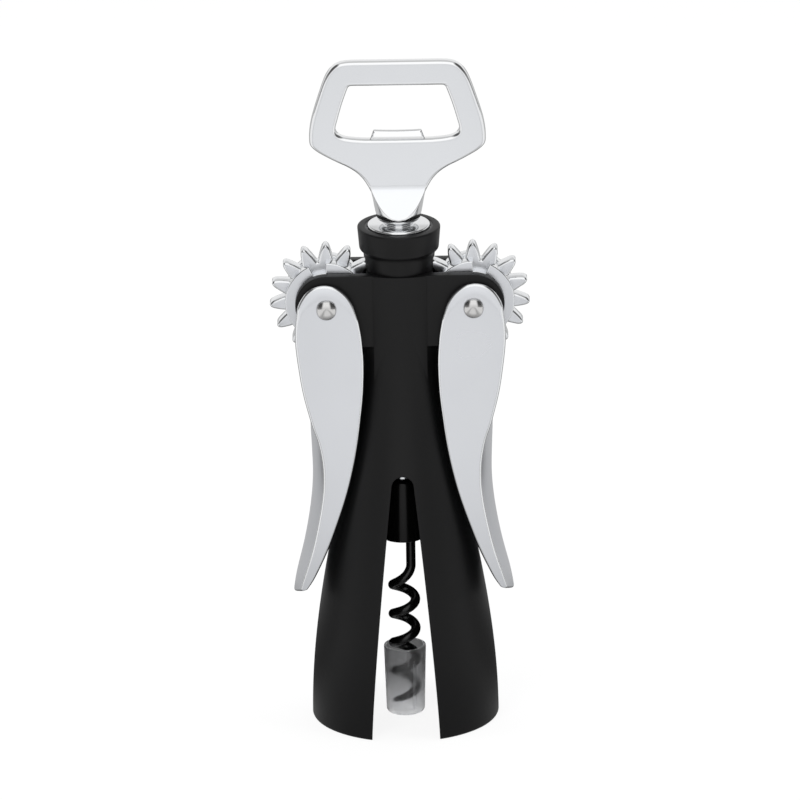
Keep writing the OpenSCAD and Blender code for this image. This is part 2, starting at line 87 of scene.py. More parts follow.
class Along(Enum):
    """The axis that a plate or a turned part lies along, as the places of (a, b, height) in (x, y, z)."""

    Y = (0, 2, 1)
    Z = (0, 1, 2)

    def place(self, a: Array, b: Array, height: Array) -> Array:
        """Puts drawing coordinates (a, b) and a height along this axis into space.

        Args:
            a: First coordinate of the drawing.
            b: Second coordinate of the drawing.
            height: Distance along the axis.

        Returns:
            Points whose last dimension is (x, y, z).
        """
        a, b, height = np.broadcast_arrays(a, b, height)
        points = np.empty(a.shape + (3,))
        for value, spot in zip((a, b, height), self.value):
            points[..., spot] = value
        return points


class Joining(Enum):
    """What happens to a piece with another solid."""

    ADD = "UNION"
    CUT = "DIFFERENCE"


# ---------------------------------------------------------------- curves and surfaces


def smooth_curve(points: Points, steps: int) -> Array:
    """Carries a smooth open curve through the given points.

    Between b and c, with neighbours a and d, the curve is half of
    2b + (c - a)t + (2a - 5b + 4c - d)t^2 + (3b - 3c + d - a)t^3, for t from 0 to 1.

    Args:
        points: Points of any dimension, in order.
        steps: Number of steps in each stretch.

    Returns:
        The curve's points, the last given point among them.
    """
    p = np.asarray(points, float)
    last = len(p) - 1
    i = np.arange(last)
    a, b, c, d = p[np.maximum(i - 1, 0)], p[i], p[i + 1], p[np.minimum(i + 2, last)]
    t = (np.arange(steps) / steps)[None, :, None]
    a, b, c, d = (q[:, None, :] for q in (a, b, c, d))
    curve = 2 * b + (c - a) * t + (2 * a - 5 * b + 4 * c - d) * t**2 + (3 * b - 3 * c + d - a) * t**3
    return np.vstack([0.5 * curve.reshape(-1, p.shape[1]), p[-1:]])


def arc(centre: tuple[float, float], radius: float, start: float, stop: float, steps: int) -> Array:
    """Points on a circle, centre + radius (cos, sin) of angles from start to stop in degrees.

    Args:
        centre: The circle's centre.
        radius: The circle's radius.
        start: First angle in degrees.
        stop: Last angle in degrees.
        steps: Number of steps between them.

    Returns:
        An array of steps + 1 points.
    """
    angle = np.radians(np.linspace(start, stop, steps + 1))
    return np.stack([centre[0] + radius * np.cos(angle), centre[1] + radius * np.sin(angle)], axis=1)


def rounded_corners(profile: Points, reach: float | Sequence[float], steps: int = 4) -> Array:
    """Rounds each corner of a closed profile with a parabola that touches both of its sides.

    The parabola is (1 - s)^2 A + 2 s (1 - s) P + s^2 B, with P the corner and A and B the points
    at the given reach from it on its two sides, or at 0.45 of a side that is shorter.

    Args:
        profile: The closed profile's corners.
        reach: How far each rounding reaches from its corner, one number or one per corner.
        steps: Steps in each rounding.

    Returns:
        The rounded closed profile.
    """
    most = 0.45
    p = np.asarray(profile, float)
    before, after = np.roll(p, 1, axis=0) - p, np.roll(p, -1, axis=0) - p
    size_b, size_a = np.linalg.norm(before, axis=1), np.linalg.norm(after, axis=1)
    reach = np.broadcast_to(np.asarray(reach, float), (len(p),))
    cut_b, cut_a = np.minimum(reach, most * size_b), np.minimum(reach, most * size_a)
    first = p + before * (cut_b / size_b)[:, None]
    second = p + after * (cut_a / size_a)[:, None]
    s = np.linspace(0, 1, steps + 1)[None, :, None]
    curve = (1 - s) ** 2 * first[:, None] + 2 * s * (1 - s) * p[:, None] + s**2 * second[:, None]
    return curve.reshape(-1, 2)


def rim_rounds(radius: float, steps: int) -> tuple[Array, Array]:
    """Works out a rim that is rounded by a quarter circle at both of its faces.

    With q from 0 to 90 degrees the inset is radius (1 - sin q), and the rise above the face is
    radius (1 - cos q). The second quarter runs the same way back.

    Args:
        radius: Radius of the quarter circles.
        steps: Steps in each of them.

    Returns:
        The insets along both quarters, and the rises along the first.
    """
    quarter = np.linspace(0, math.pi / 2, steps + 1)
    inset, rise = radius * (1 - np.sin(quarter)), radius * (1 - np.cos(quarter))
    return np.concatenate([inset, inset[::-1]]), rise


def outward_normals(outline: Array) -> Array:
    """Mitred normals of a closed outline that runs anticlockwise.

    Each normal is the sum of the two sides' unit normals, scaled so that a step of 1 along it moves
    both sides out by 1, and never longer than 1.6.

    Args:
        outline: Closed outline, anticlockwise.

    Returns:
        One vector per point.
    """
    longest, tiny = 1.6, 1e-12
    side = np.roll(outline, -1, axis=0) - outline
    side /= np.maximum(np.linalg.norm(side, axis=1), tiny)[:, None]
    normal = np.stack([side[:, 1], -side[:, 0]], axis=1)
    both = normal + np.roll(normal, 1, axis=0)
    both /= np.maximum(np.linalg.norm(both, axis=1), tiny)[:, None]
    return both / np.maximum(np.sum(both * normal, axis=1), 1 / longest)[:, None]


def anticlockwise(outline: Array) -> Array:
    """The same closed outline, turned round if its area sum x dy - y dx is negative."""
    x, y = outline.T
    turned = np.sum(x * np.roll(y, -1) - y * np.roll(x, -1)) < 0
    return outline[::-1] if turned else outline


def spaced(outline: Array, count: int) -> Array:
    """Spreads points evenly by length along a closed outline.

    Args:
        outline: Closed outline.
        count: Number of points.

    Returns:
        The even outline.
    """
    loop = np.vstack([outline, outline[:1]])
    run = np.concatenate([[0], np.cumsum(np.linalg.norm(np.diff(loop, axis=0), axis=1))])
    at = np.linspace(0, run[-1], count, endpoint=False)
    return np.stack([np.interp(at, run, loop[:, k]) for k in range(2)], axis=1)


def smooth_step(value: Array, low: float, high: float) -> Array:
    """Rises from 0 at low to 1 at high as 3t^2 - 2t^3."""
    t = np.clip((value - low) / (high - low), 0, 1)
    return t * t * (3 - 2 * t)


class Solid:
    """Closed surfaces in millimetres, gathered to become one Blender mesh."""

    def __init__(self) -> None:
        """Starts with nothing."""
        self._points: list[Array] = []
        self._edge: list[Array] = []
        self._faces: list[list[int]] = []
        self._count = 0

    def _add(self, points: Array, edge: Array | float) -> int:
        """Stores points with how much of an edge each one is, and returns the first one's number."""
        first = self._count
        flat = points.reshape(-1, 3)
        self._points.append(flat)
        self._edge.append(np.broadcast_to(edge, points.shape[:-1]).ravel())
        self._count += len(flat)
        return first

    def grid(
        self, surface: Array, wrap_u: bool = False, wrap_v: bool = False, edge: Array | float = 0.0
    ) -> Solid:
        """Adds a surface of two parameters as a net of quads.

        Args:
            surface: Array of shape (u, v, 3).
            wrap_u: Whether the last row joins the first.
            wrap_v: Whether the last column joins the first.
            edge: How much of a polished edge each point is, from 0 to 1.

        Returns:
            This solid.
        """
        rows, columns = surface.shape[:2]
        first = self._add(surface, edge)
        u = np.arange(rows if wrap_u else rows - 1)[:, None]
        v = np.arange(columns if wrap_v else columns - 1)[None, :]
        u2, v2 = (u + 1) % rows, (v + 1) % columns
        corners_in_turn = ((u, v), (u2, v), (u2, v2), (u, v2))
        quads = np.stack([a * columns + b for a, b in corners_in_turn], axis=-1)
        self._faces += (quads.reshape(-1, 4) + first).tolist()
        return self

    def lid(self, ring: Array) -> Solid:
        """Closes a flat ring of points with one face."""
        first = self._add(ring, 0.0)
        self._faces.append(list(range(first, first + len(ring))))
        return self

    def turned(
        self,
        profile: Array,
        along: Along = Along.Z,
        steps: int = 96,
        closed: bool = True,
        edge: float = 0.0,
    ) -> Solid:
        """Adds a turned part: (r cos a, r sin a, h) for a full turn of a, with (r, h) along the profile.

        Args:
            profile: Points (radius, height). An open profile starts and ends on the axis.
            along: The axis that it turns about.
            steps: Steps in the full turn.
            closed: Whether the profile is a closed loop.
            edge: How much of a polished edge the whole part is.

        Returns:
            This solid.
        """
        angle = np.linspace(0, 2 * math.pi, steps, endpoint=False)[:, None]
        radius, height = profile[None, :, 0], profile[None, :, 1]
        surface = along.place(radius * np.cos(angle), radius * np.sin(angle), height)
        return self.grid(surface, True, closed, edge)

    def plate(
        self, outline: Array, low: float, high: float, rounding: float, along: Along = Along.Y
    ) -> Solid:
        """Adds a flat plate whose rim is rounded on both faces.

        The rim's points are outline - inset * normal, where inset runs from the rounding on one face to 0
        on the side and back, along a quarter circle at each face.

        Args:
            outline: Closed outline in the plate's plane.
            low: Height of one face.
            high: Height of the other face.
            rounding: Radius of the rim's rounding.
            along: The axis across the plate.

        Returns:
            This solid.
        """
        outline = anticlockwise(outline)
        normal = outward_normals(outline)
        inset, rise = rim_rounds(rounding, 4)
        height = np.concatenate([low + rise, high - rise[::-1]])
        flat = outline[:, None, :] - inset[None, :, None] * normal[:, None, :]
        rim = along.place(flat[..., 0], flat[..., 1], height[None, :])
        self.grid(rim, wrap_u=True, edge=(inset < 0.9 * rounding).astype(float))
        return self.lid(rim[:, 0]).lid(rim[:, -1])

    def mirrored(self, side: Side) -> Solid:
        """The same solid, with x turned to -x for the right side."""
        if side is Side.RIGHT:
            self._points = [p * np.array([-1.0, 1.0, 1.0]) for p in self._points]
        return self

    def moved(self, offset: Sequence[float]) -> Solid:
        """The same solid, moved by an offset in millimetres."""
        self._points = [p + np.asarray(offset) for p in self._points]
        return self

    def made(self, name: str, sharp: float = 32.0) -> bpy.types.Object:
        """Turns the solid into a Blender object at the origin.

        Doubled points at seams and poles are merged and the faces turned outwards. Edges sharper than the
        given angle stay sharp, and the rest is shaded smooth.

        Args:
            name: The object's name.
            sharp: Angle in degrees from which an edge stays sharp.

        Returns:
            The object, linked into the scene.
        """
        same_place = 2e-7
        mesh = bpy.data.meshes.new(name)
        mesh.from_pydata((np.vstack(self._points) * MM).tolist(), [], self._faces)
        mesh.attributes.new("edge", "FLOAT", "POINT").data.foreach_set("value", np.concatenate(self._edge))
        work = bmesh.new()
        work.from_mesh(mesh)
        bmesh.ops.remove_doubles(work, verts=work.verts, dist=same_place)
        bmesh.ops.recalc_face_normals(work, faces=work.faces)
        work.to_mesh(mesh)
        work.free()
        shade(mesh, sharp)
        made = bpy.data.objects.new(name, mesh)
        bpy.context.scene.collection.objects.link(made)
        return made


def shade(mesh: bpy.types.Mesh, sharp: float) -> None:
    """Shades a mesh smooth, but for edges sharper than an angle in degrees."""
    mesh.polygons.foreach_set("use_smooth", np.ones(len(mesh.polygons), bool))
    mesh.set_sharp_from_angle(angle=math.radians(sharp))


def applied(piece: bpy.types.Object) -> bpy.types.Object:
    """Gives a piece the mesh that its modifiers make, and takes the modifiers off."""
    graph = bpy.context.evaluated_depsgraph_get()
    mesh = bpy.data.meshes.new_from_object(piece.evaluated_get(graph))
    piece.modifiers.clear()
    piece.data = mesh
    return piece


def combined(piece: bpy.types.Object, others: Sequence[Solid], joining: Joining) -> bpy.types.Object:
    """Joins other solids to a piece or cuts them out of it.

    Args:
        piece: The piece that is changed.
        others: The solids that are added or cut out.
        joining: Which of the two.

    Returns:
        The piece.
    """
    helpers = [other.made("work") for other in others]
    for helper in helpers:
        step = piece.modifiers.new("work", "BOOLEAN")
        step.operation, step.solver, step.object = joining.value, "EXACT", helper
    bpy.context.view_layer.update()
    applied(piece)
    for helper in helpers:
        bpy.data.objects.remove(helper)
    return piece


# ---------------------------------------------------------------- finishes


class NodeTree:
    """A short way to add and link shader nodes in one tree."""

    def __init__(self, tree: bpy.types.NodeTree) -> None:
        """Holds the tree that is being filled."""
        self.tree = tree

    def add(self, kind: str, settings: dict[str, object] | None = None, **inputs: object) -> bpy.types.Node:
        """Adds a node, sets its properties and sets or links its inputs.

        Args:
            kind: The node's type name.
            settings: Properties of the node.
            inputs: Values or sockets by input name, with _ for a space.

        Returns:
            The node.
        """
        node = self.tree.nodes.new(kind)
        for key, value in (settings or {}).items():
            setattr(node, key, value)
        for key, value in inputs.items():
            self.feed(node.inputs[key.replace("_", " ")], value)
        return node

    def feed(self, socket: bpy.types.NodeSocket, value: object) -> None:
        """Links a socket to another, or sets its value."""
        if isinstance(value, bpy.types.NodeSocket):
            self.tree.links.new(value, socket)
        else:
            socket.default_value = value

    def _fed(self, node: bpy.types.Node, inputs: dict[int, object]) -> bpy.types.NodeSocket:
        """Feeds a node's inputs by their numbers, and gives its first output."""
        for place, value in inputs.items():
            self.feed(node.inputs[place], value)
        return node.outputs[0]

    def calc(self, operation: str, first: object, second: object) -> bpy.types.NodeSocket:
        """A Math node's result for two values or sockets."""
        node = self.add("ShaderNodeMath", {"operation": operation})
        return self._fed(node, {0: first, 1: second})

    def plus(self, first: object, second: object) -> bpy.types.NodeSocket:
        """The sum of two values or sockets."""
        return self.calc("ADD", first, second)

    def times(self, first: object, second: object) -> bpy.types.NodeSocket:
        """The product of two values or sockets."""
        return self.calc("MULTIPLY", first, second)

    def blend(self, share: object, first: object, second: object) -> bpy.types.NodeSocket:
        """A Mix node's number between two values or sockets."""
        node = self.add("ShaderNodeMix", {"data_type": "FLOAT"})
        return self._fed(node, {0: share, 2: first, 3: second})

    def ramp(
        self, value: bpy.types.NodeSocket, low: float, high: float, start: float, stop: float
    ) -> bpy.types.NodeSocket:
        """Maps a value from low..high to start..stop and holds it there."""
        node = self.add("ShaderNodeMapRange", {"clamp": True}, Value=value, From_Min=low, From_Max=high)
        self.feed(node.inputs["To Min"], start)
        self.feed(node.inputs["To Max"], stop)
        return node.outputs["Result"]

    def noise(
        self, place: bpy.types.NodeSocket, scale: object, detail: float, distortion: float = 0.0
    ) -> bpy.types.NodeSocket:
        """A Noise Texture's value at a place."""
        node = self.add(
            "ShaderNodeTexNoise", Vector=place, Scale=scale, Detail=detail, Distortion=distortion
        )
        return node.outputs[0]

    def group(self, name: str, **inputs: object) -> bpy.types.Node:
        """A shared node group, placed with its own values."""
        return self.add("ShaderNodeGroup", {"node_tree": shared_group(name)}, **inputs)

    def shown(self, path: bpy.types.Node) -> bpy.types.NodeSocket:
        """1 where the camera looks straight at a place or through something clear, and 0 elsewhere."""
        seen = self.plus(path.outputs["Is Camera Ray"], path.outputs["Is Transmission Ray"])
        return self.calc("MINIMUM", seen, 1.0)


def new_group(
    name: str, inputs: dict[str, str], outputs: dict[str, str]
) -> tuple[NodeTree, bpy.types.Node, bpy.types.Node]:
    """Starts a shader node group with named sockets.

    Args:
        name: The group's name.
        inputs: Socket types by input name.
        outputs: Socket types by output name.

    Returns:
        The tree, its input node and its output node.
    """
    group = bpy.data.node_groups.new(name, "ShaderNodeTree")
    for direction, sockets in (("INPUT", inputs), ("OUTPUT", outputs)):
        for socket, kind in sockets.items():
            group.interface.new_socket(name=socket, in_out=direction, socket_type=f"NodeSocket{kind}")
    tree = NodeTree(group)
    return tree, tree.add("NodeGroupInput"), tree.add("NodeGroupOutput")


def grain_group() -> bpy.types.NodeTree:
    """Fine grain: noise of a few octaves as a height, and a slow drift of the roughness."""
    tree, given, result = new_group(
        "Fine grain",
        {"Place": "Vector", "Scale": "Float", "Drift": "Float"},
        {"Height": "Float", "Roughness": "Float"},
    )
    place = given.outputs["Place"]
    fine = tree.noise(place, given.outputs["Scale"], 3.0)
    slow = tree.noise(place, 38.0, 2.0)
    tree.feed(result.inputs["Height"], fine)
    drift = tree.times(tree.calc("SUBTRACT", slow, 0.5), given.outputs["Drift"])
    tree.feed(result.inputs["Roughness"], drift)
    return tree.tree


def handling_group() -> bpy.types.NodeTree:
    """Marks of handling: broad soft patches where fingers dull a surface, with fine specks in them."""
    tree, given, result = new_group("Handling", {"Place": "Vector", "Amount": "Float"}, {"Mask": "Float"})
    place = given.outputs["Place"]
    broad = tree.noise(place, 55.0, 4.0, 0.4)
    specks = tree.add("ShaderNodeTexVoronoi", Vector=place, Scale=900.0)
    patch = tree.ramp(broad, 0.5, 0.72, 0.0, 1.0)
    speck = tree.ramp(specks.outputs["Distance"], 0.0, 0.35, 1.0, 0.6)
    tree.feed(result.inputs["Mask"], tree.times(tree.times(patch, speck), given.outputs["Amount"]))
    return tree.tree


def edge_group() -> bpy.types.NodeTree:
    """Edge polish: how much of a rounded edge a place is, broken up a little by noise."""
    tree, given, result = new_group("Edge polish", {"Place": "Vector", "Edge": "Float"}, {"Mask": "Float"})
    broken = tree.ramp(tree.noise(given.outputs["Place"], 260.0, 2.0), 0.3, 0.7, 0.8, 1.0)
    tree.feed(result.inputs["Mask"], tree.times(given.outputs["Edge"], broken))
    return tree.tree


@dataclass(frozen=True)
class Finish:
    """A surface finish, made into one material.

    Attributes:
        name: The material's name.
        slot: The record's material slot; not used.
        colour: Base colour, linear.
        edge_colour: Base colour on rounded edges.
        roughness: Roughness of the faces.
        edge_roughness: Roughness of the rounded edges.
        grain: Grains per metre of the noise.
        grain_depth: Height of the grain in metres.
        metallic: 1 for bare or plated metal.
        drift: How far the roughness drifts over the surface.
        handling: How strongly handling dulls the surface.
        specular: Specular level of a plastic.
        transmission: How much light passes.
        ior: Index of refraction.
    """

    name: str
    slot: str
    colour: tuple[float, float, float]
    edge_colour: tuple[float, float, float]
    roughness: float
    edge_roughness: float
    grain: float
    grain_depth: float
    metallic: float = 0.0
    drift: float = 0.06
    handling: float = 0.05
    specular: float = 0.5
    transmission: float = 0.0
    ior: float = 1.5

    def material(self) -> bpy.types.Material:
        """Builds the material once and returns it each time."""
        known = bpy.data.materials.get(self.name)
        if known:
            return known
        material = bpy.data.materials.new(self.name)
        tree = blank_tree(material)
        place = tree.add("ShaderNodeTexCoord").outputs["Object"]
        grain = tree.group("Fine grain", Place=place, Scale=self.grain, Drift=self.drift)
        hands = tree.group("Handling", Place=place, Amount=self.handling)
        rim = tree.add("ShaderNodeAttribute", {"attribute_name": "edge"})
        mask = tree.group("Edge polish", Place=place, Edge=rim.outputs["Fac"]).outputs["Mask"]
        colour = tree.add("ShaderNodeMix", {"data_type": "RGBA"})
        tree.feed(colour.inputs["Factor"], mask)
        tree.feed(colour.inputs["A"], (*self.colour, 1.0))
        tree.feed(colour.inputs["B"], (*self.edge_colour, 1.0))
        rough = tree.ramp(mask, 0.0, 1.0, self.roughness, self.edge_roughness)
        rough = tree.plus(rough, tree.plus(grain.outputs["Roughness"], hands.outputs["Mask"]))
        bump = tree.add("ShaderNodeBump", Height=grain.outputs["Height"], Distance=self.grain_depth)
        shader = tree.add(
            "ShaderNodeBsdfPrincipled",
            Base_Color=colour.outputs["Result"],
            Roughness=rough,
            Normal=bump.outputs[0],
            Metallic=self.metallic,
            IOR=self.ior,
            Specular_IOR_Level=self.specular,
            Transmission_Weight=self.transmission,
        )
        tree.add("ShaderNodeOutputMaterial", Surface=shader.outputs[0])
        return material

    def dress(self, piece: bpy.types.Object) -> bpy.types.Object:
        """Gives a piece this finish on all its faces."""
        piece.data.materials.clear()
        piece.data.materials.append(self.material())
        return piece


def blank_tree(owner: bpy.types.Material | bpy.types.World) -> NodeTree:
    """Gives a material or a world an empty node tree."""
    owner.use_nodes = True
    owner.node_tree.nodes.clear()
    return NodeTree(owner.node_tree)


def shared_group(name: str) -> bpy.types.NodeTree:
    """One of the node groups that several materials share, built when it is first asked for."""
    makers = {"Fine grain": grain_group, "Handling": handling_group, "Edge polish": edge_group}
    return bpy.data.node_groups.get(name) or makers[name]()


BODY_PLASTIC = Finish(
    "satin black moulded plastic", "body_plastic", (0.0034, 0.0034, 0.0036), (0.007, 0.007, 0.0073),
    roughness=0.42, edge_roughness=0.32, grain=5200.0, grain_depth=5.0e-6, specular=0.23,
)
SATIN_PLATE = Finish(
    "satin chrome plate", "satin_plate", (0.73, 0.745, 0.775), (0.78, 0.79, 0.80), metallic=1.0,
    roughness=0.28, edge_roughness=0.14, grain=9000.0, grain_depth=1.2e-6, drift=0.05, handling=0.03,
)
BRIGHT_PLATE = Finish(
    "bright chrome plate", "bright_plate", (0.79, 0.805, 0.83), (0.80, 0.805, 0.81), metallic=1.0,
    roughness=0.18, edge_roughness=0.07, grain=9000.0, grain_depth=0.8e-6, drift=0.04, handling=0.03,
)
POLISHED_STEEL = Finish(
    "polished steel", "pin_steel", (0.60, 0.595, 0.59), (0.66, 0.65, 0.64), metallic=1.0,
    roughness=0.12, edge_roughness=0.09, grain=6000.0, grain_depth=0.6e-6, drift=0.03, handling=0.02,
)
HUB_PLASTIC = Finish(
    "glossy black plastic", "hub_plastic", (0.002, 0.002, 0.002), (0.004, 0.004, 0.004),
    roughness=0.2, edge_roughness=0.14, grain=3000.0, grain_depth=3.0e-6, specular=0.22,
)
WORM_COATING = Finish(
    "black non-stick coating", "worm_coating", (0.004, 0.004, 0.004), (0.006, 0.006, 0.006),
    roughness=0.24, edge_roughness=0.2, grain=1500.0, grain_depth=4.0e-5, drift=0.15, handling=0.1,
    specular=0.45,
)
CAP_PLASTIC = Finish(
    "frosted plastic", "cap_plastic", (0.985, 0.99, 1.0), (0.985, 0.99, 1.0),
    roughness=0.44, edge_roughness=0.42, grain=4000.0, grain_depth=4.0e-6, handling=0.03,
    transmission=0.95, ior=1.16,
)
BEARING_PLASTIC = Finish(
    "natural nylon", "bearing_plastic", (0.60, 0.58, 0.52), (0.62, 0.6, 0.55),
    roughness=0.45, edge_roughness=0.4, grain=4000.0, grain_depth=4.0e-6,
)
SPRING_STEEL = Finish(
    "blackened spring steel", "spring_steel", (0.03, 0.03, 0.032), (0.05, 0.05, 0.052), metallic=0.6,
    roughness=0.35, edge_roughness=0.3, grain=5000.0, grain_depth=3.0e-6,
)


def show(piece: bpy.types.Object, finish: Finish, body: str, *nodes: str) -> bpy.types.Object:
    """Dresses a piece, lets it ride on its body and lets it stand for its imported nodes.

    Args:
        piece: The finished piece.
        finish: Its finish.
        body: The body that it rides on.
        nodes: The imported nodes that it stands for.

    Returns:
        The piece.
    """
    finish.dress(piece)
    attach(piece, body)
    if nodes:
        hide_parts(*nodes)
    LOG.info("%s: %d faces, %s, on %s", piece.name, len(piece.data.polygons), finish.name, body)
    return piece


# ---------------------------------------------------------------- body


def gear_pockets(pivot: tuple[float, float], radius: float, half: float) -> list[Solid]:
    """The two short cylinders on the pivots' axes that leave room for the gears.

    Args:
        pivot: Place (x, z) of the right pivot.
        radius: Radius of the pockets.
        half: Half of their width.

    Returns:
        The left and the right cylinder.
    """
    profile = np.array([[0, -half], [radius, -half], [radius, half], [0, half]])
    places = [(side.value * pivot[0], 0, pivot[1]) for side in Side]
    return [Solid().turned(profile, Along.Y, steps=120, closed=False).moved(place) for place in places]


@dataclass
class BodyMoulding:
    """The black moulding: bell with two slots, neck, ears and pads, in millimetres.

    Attributes:
        rim: Outer radius at the rim.
        neck: Outer radius of the neck.
        height: Height over which the bell swells.
        wall: Thickness of the bell's wall.
        hollow: Height of the hollow inside.
        slot_rim: Half width of the slots at the rim.
        slot_top: Half width of the slots at the top.
        slot_height: Height of the slots' round top.
        pivot: Place (x, z) of the right pivot.
        ear: Radius of an ear.
        ear_faces: Distance of the ears' inner and outer faces from the middle.
        drop: Depth of the ears below the pivots.
        waist: Half width of the ears' lower edge.
        pad: Half width of the pads.
        pad_front: Distance of the pads' faces from the middle.
        pad_arc: Radius of the pads' faces.
        bore: Radius of the rack's bore.
        floor: Height of the bore's floor and radius of the hole in it.
        seat: Radius of the collar's seat.
        pocket: Radius of the gears' pockets.
        soft: Radius of the slots' edges.
    """

    rim: float = 27.0
    neck: float = 10.6
    height: float = 130.0
    wall: float = 2.6
    hollow: float = 82.0
    slot_rim: float = 9.8
    slot_top: float = 3.2
    slot_height: float = 77.7
    pivot: tuple[float, float] = (21.25, 127.9)
    ear: float = 9.0
    ear_faces: tuple[float, float] = (5.7, 8.9)
    drop: float = 12.7
    waist: float = 13.0
    pad: float = 7.7
    pad_front: float = 10.64
    pad_arc: float = 21.0
    bore: float = 8.9
    floor: tuple[float, float] = (85.4, 5.6)
    seat: float = 9.75
    pocket: float = 16.7
    soft: float = 0.4

    @property
    def top(self) -> float:
        """Height of the ears' and the neck's top."""
        return self.pivot[1] + self.ear

    @property
    def straight(self) -> float:
        """Height where the slots' sides end and their round tops start."""
        return self.slot_height - self.slot_top

    def radius(self, z: Array) -> Array:
        """The bell's radius: neck + (rim - neck) (1 + cos(180 z / height)) / 2, with z up to the height."""
        swell = 1 + np.cos(math.pi * np.minimum(z, self.height) / self.height)
        return self.neck + (self.rim - self.neck) * swell / 2

    def slot_half(self, z: Array) -> Array:
        """Half the slot's width: top + (rim - top) (1 - (z / straight)^1.25), then a round top, then 0."""
        share = 1 - np.clip(z / self.straight, 0, 1) ** 1.25
        side = self.slot_top + (self.slot_rim - self.slot_top) * share
        arch = np.sqrt(np.maximum(self.slot_top**2 - np.maximum(z - self.straight, 0) ** 2, 0))
        return np.where(z > self.straight, arch, side)

    def ring(self, radius: Array, z: Array, slot: Array, inward: float) -> Array:
        """The right half of level rings round the axis, from the front slot's edge to the rear slot's.

        The columns lie at the distances in near from the slot's edges, and are even in angle between them.
        A point (r sin a, -r cos a) keeps its x, and its y is sqrt((r - sink)^2 - x^2), where
        sink = soft - sqrt(soft^2 - (soft - d)^2) and d is the distance to the slot's outline in front view.
        The sides, up to 6 mm before and behind the axis, have no slot and don't sink.

        Args:
            radius: Radius of each ring.
            z: Height of each ring.
            slot: Half the slot's width at each ring.
            inward: 1 for an outer face, which sinks inwards at the slot, -1 for an inner one.

        Returns:
            Points of shape (rings, columns, 3).
        """
        near = np.array([0.0, 0.015, 0.06, 0.13, 0.23, 0.36, 0.52, 0.8])
        between, sides = 66, 6
        radius, z, slot = radius[:, None], z[:, None], slot[:, None]
        front = np.arcsin(np.clip((slot + near[None, :]) / radius, 0, 0.999))
        share = np.linspace(0, 1, between)[None, 1:-1]
        middle = front[:, -1:] + (math.pi - 2 * front[:, -1:]) * share
        angle = np.concatenate([front, middle, math.pi - front[:, ::-1]], axis=1)
        x, y = radius * np.sin(angle), -radius * np.cos(angle)
        to_arch = np.hypot(x, z - self.straight) - self.slot_top
        distance = np.where(z > self.straight, to_arch, x - slot)
        gap = np.clip(self.soft - distance, 0, self.soft) * (np.abs(y) > sides)
        sink = self.soft - np.sqrt(self.soft**2 - gap**2)
        deep = np.sqrt(np.maximum((radius - inward * sink) ** 2 - x**2, 0))
        y = np.where(sink > 0, np.sign(y) * deep, y)
        return np.stack(np.broadcast_arrays(x, y, z), axis=-1)

    def shell(self) -> Solid:
        """The bell and the neck as one shell, with the slots and the hollow, and no bore yet.

        Below the slots' tops each half is a closed loop of outer and inner rings. Above them its rings
        follow the outer face up and in to the axis, then the hollow's ceiling out to the inner face and
        down it to the slots' tops. At the rim the outer face curls in by lip - sqrt(lip^2 - (lip - z)^2),
        and the inner face out by a part of that.

        Returns:
            The solid.
        """
        lip, inner_part = 0.8, 0.6
        start = lip - lip * np.sin(np.radians(np.linspace(90, 0, 6)))
        arch = self.straight + self.slot_top * np.sin(np.radians(np.linspace(0, 90, 19)))
        z = np.concatenate([start, np.linspace(2 * lip, self.straight, 74)[:-1], arch])
        slot = self.slot_half(z)
        slot[-1] = 0
        curl = lip - np.sqrt(np.maximum(lip**2 - np.clip(lip - z, 0, lip) ** 2, 0))
        outer = self.ring(self.radius(z) - curl, z, slot, 1)
        inner = self.ring(self.radius(z) - self.wall + inner_part * curl, z, slot, -1)
        above = self.slot_height + np.array([0, 0.04, 0.12, 0.25, 0.45, 0.8, 1.6, 2.8, 4.3])
        top, rounding, axis = self.top - 0.1, 0.3, 1e-4
        up = np.concatenate([above, np.linspace(83, top - rounding, 50)])
        path = np.vstack([
            np.stack([self.radius(up), up], axis=1),
            arc((self.neck - rounding, top - rounding), rounding, 0, 90, 3)[1:],
            [[7, top], [axis, top], [axis, self.hollow], [4, self.hollow]],
            np.stack([self.radius(above) - self.wall, above], axis=1)[::-1],
        ])
        none = np.zeros(len(path))
        faces = np.repeat([1.0, 0.0], [len(up), len(path) - len(up)])
        outside = self.ring(path[:, 0], path[:, 1], none, 1)
        inside = self.ring(path[:, 0], path[:, 1], none, -1)
        cap = np.where(faces[:, None, None] > 0, outside, inside)
        solid = Solid()
        for side in Side:
            sign = np.array([side.value, 1.0, 1.0])
            solid.grid(np.concatenate([outer, inner[:, ::-1]], axis=1) * sign, wrap_v=True)
            solid.grid(np.stack([outer[0], inner[0]]) * sign)
            solid.grid(cap * sign)
        return solid

    def ears(self) -> list[Solid]:
        """The front and the rear ear plate: two round ears and the bar between them."""
        x, z = self.pivot
        rounding = 0.35
        half = np.vstack([arc((x, z), self.ear, 90, -90, 40), [[self.waist, z - self.drop]]])
        outline = np.vstack([half, half[::-1] * [-1, 1]])
        low, high = self.ear_faces
        return [Solid().plate(outline, *faces, rounding) for faces in ((-high, -low), (low, high))]

    def pads(self) -> list[Solid]:
        """The front and the rear pad: a wide arc across the neck that sinks into the bell."""
        below, rounding = 12, 0.25
        x = np.linspace(-self.pad, self.pad, 25)
        y = self.pad_arc - self.pad_front - np.sqrt(self.pad_arc**2 - x**2)
        outline = np.vstack([np.stack([x, y], axis=1), [[self.pad, 0.0], [-self.pad, 0.0]]])
        low, high = self.pivot[1] - self.drop - below, self.top - 0.05
        return [Solid().plate(outline * [1, s], low, high, rounding, Along.Z) for s in (1, -1)]

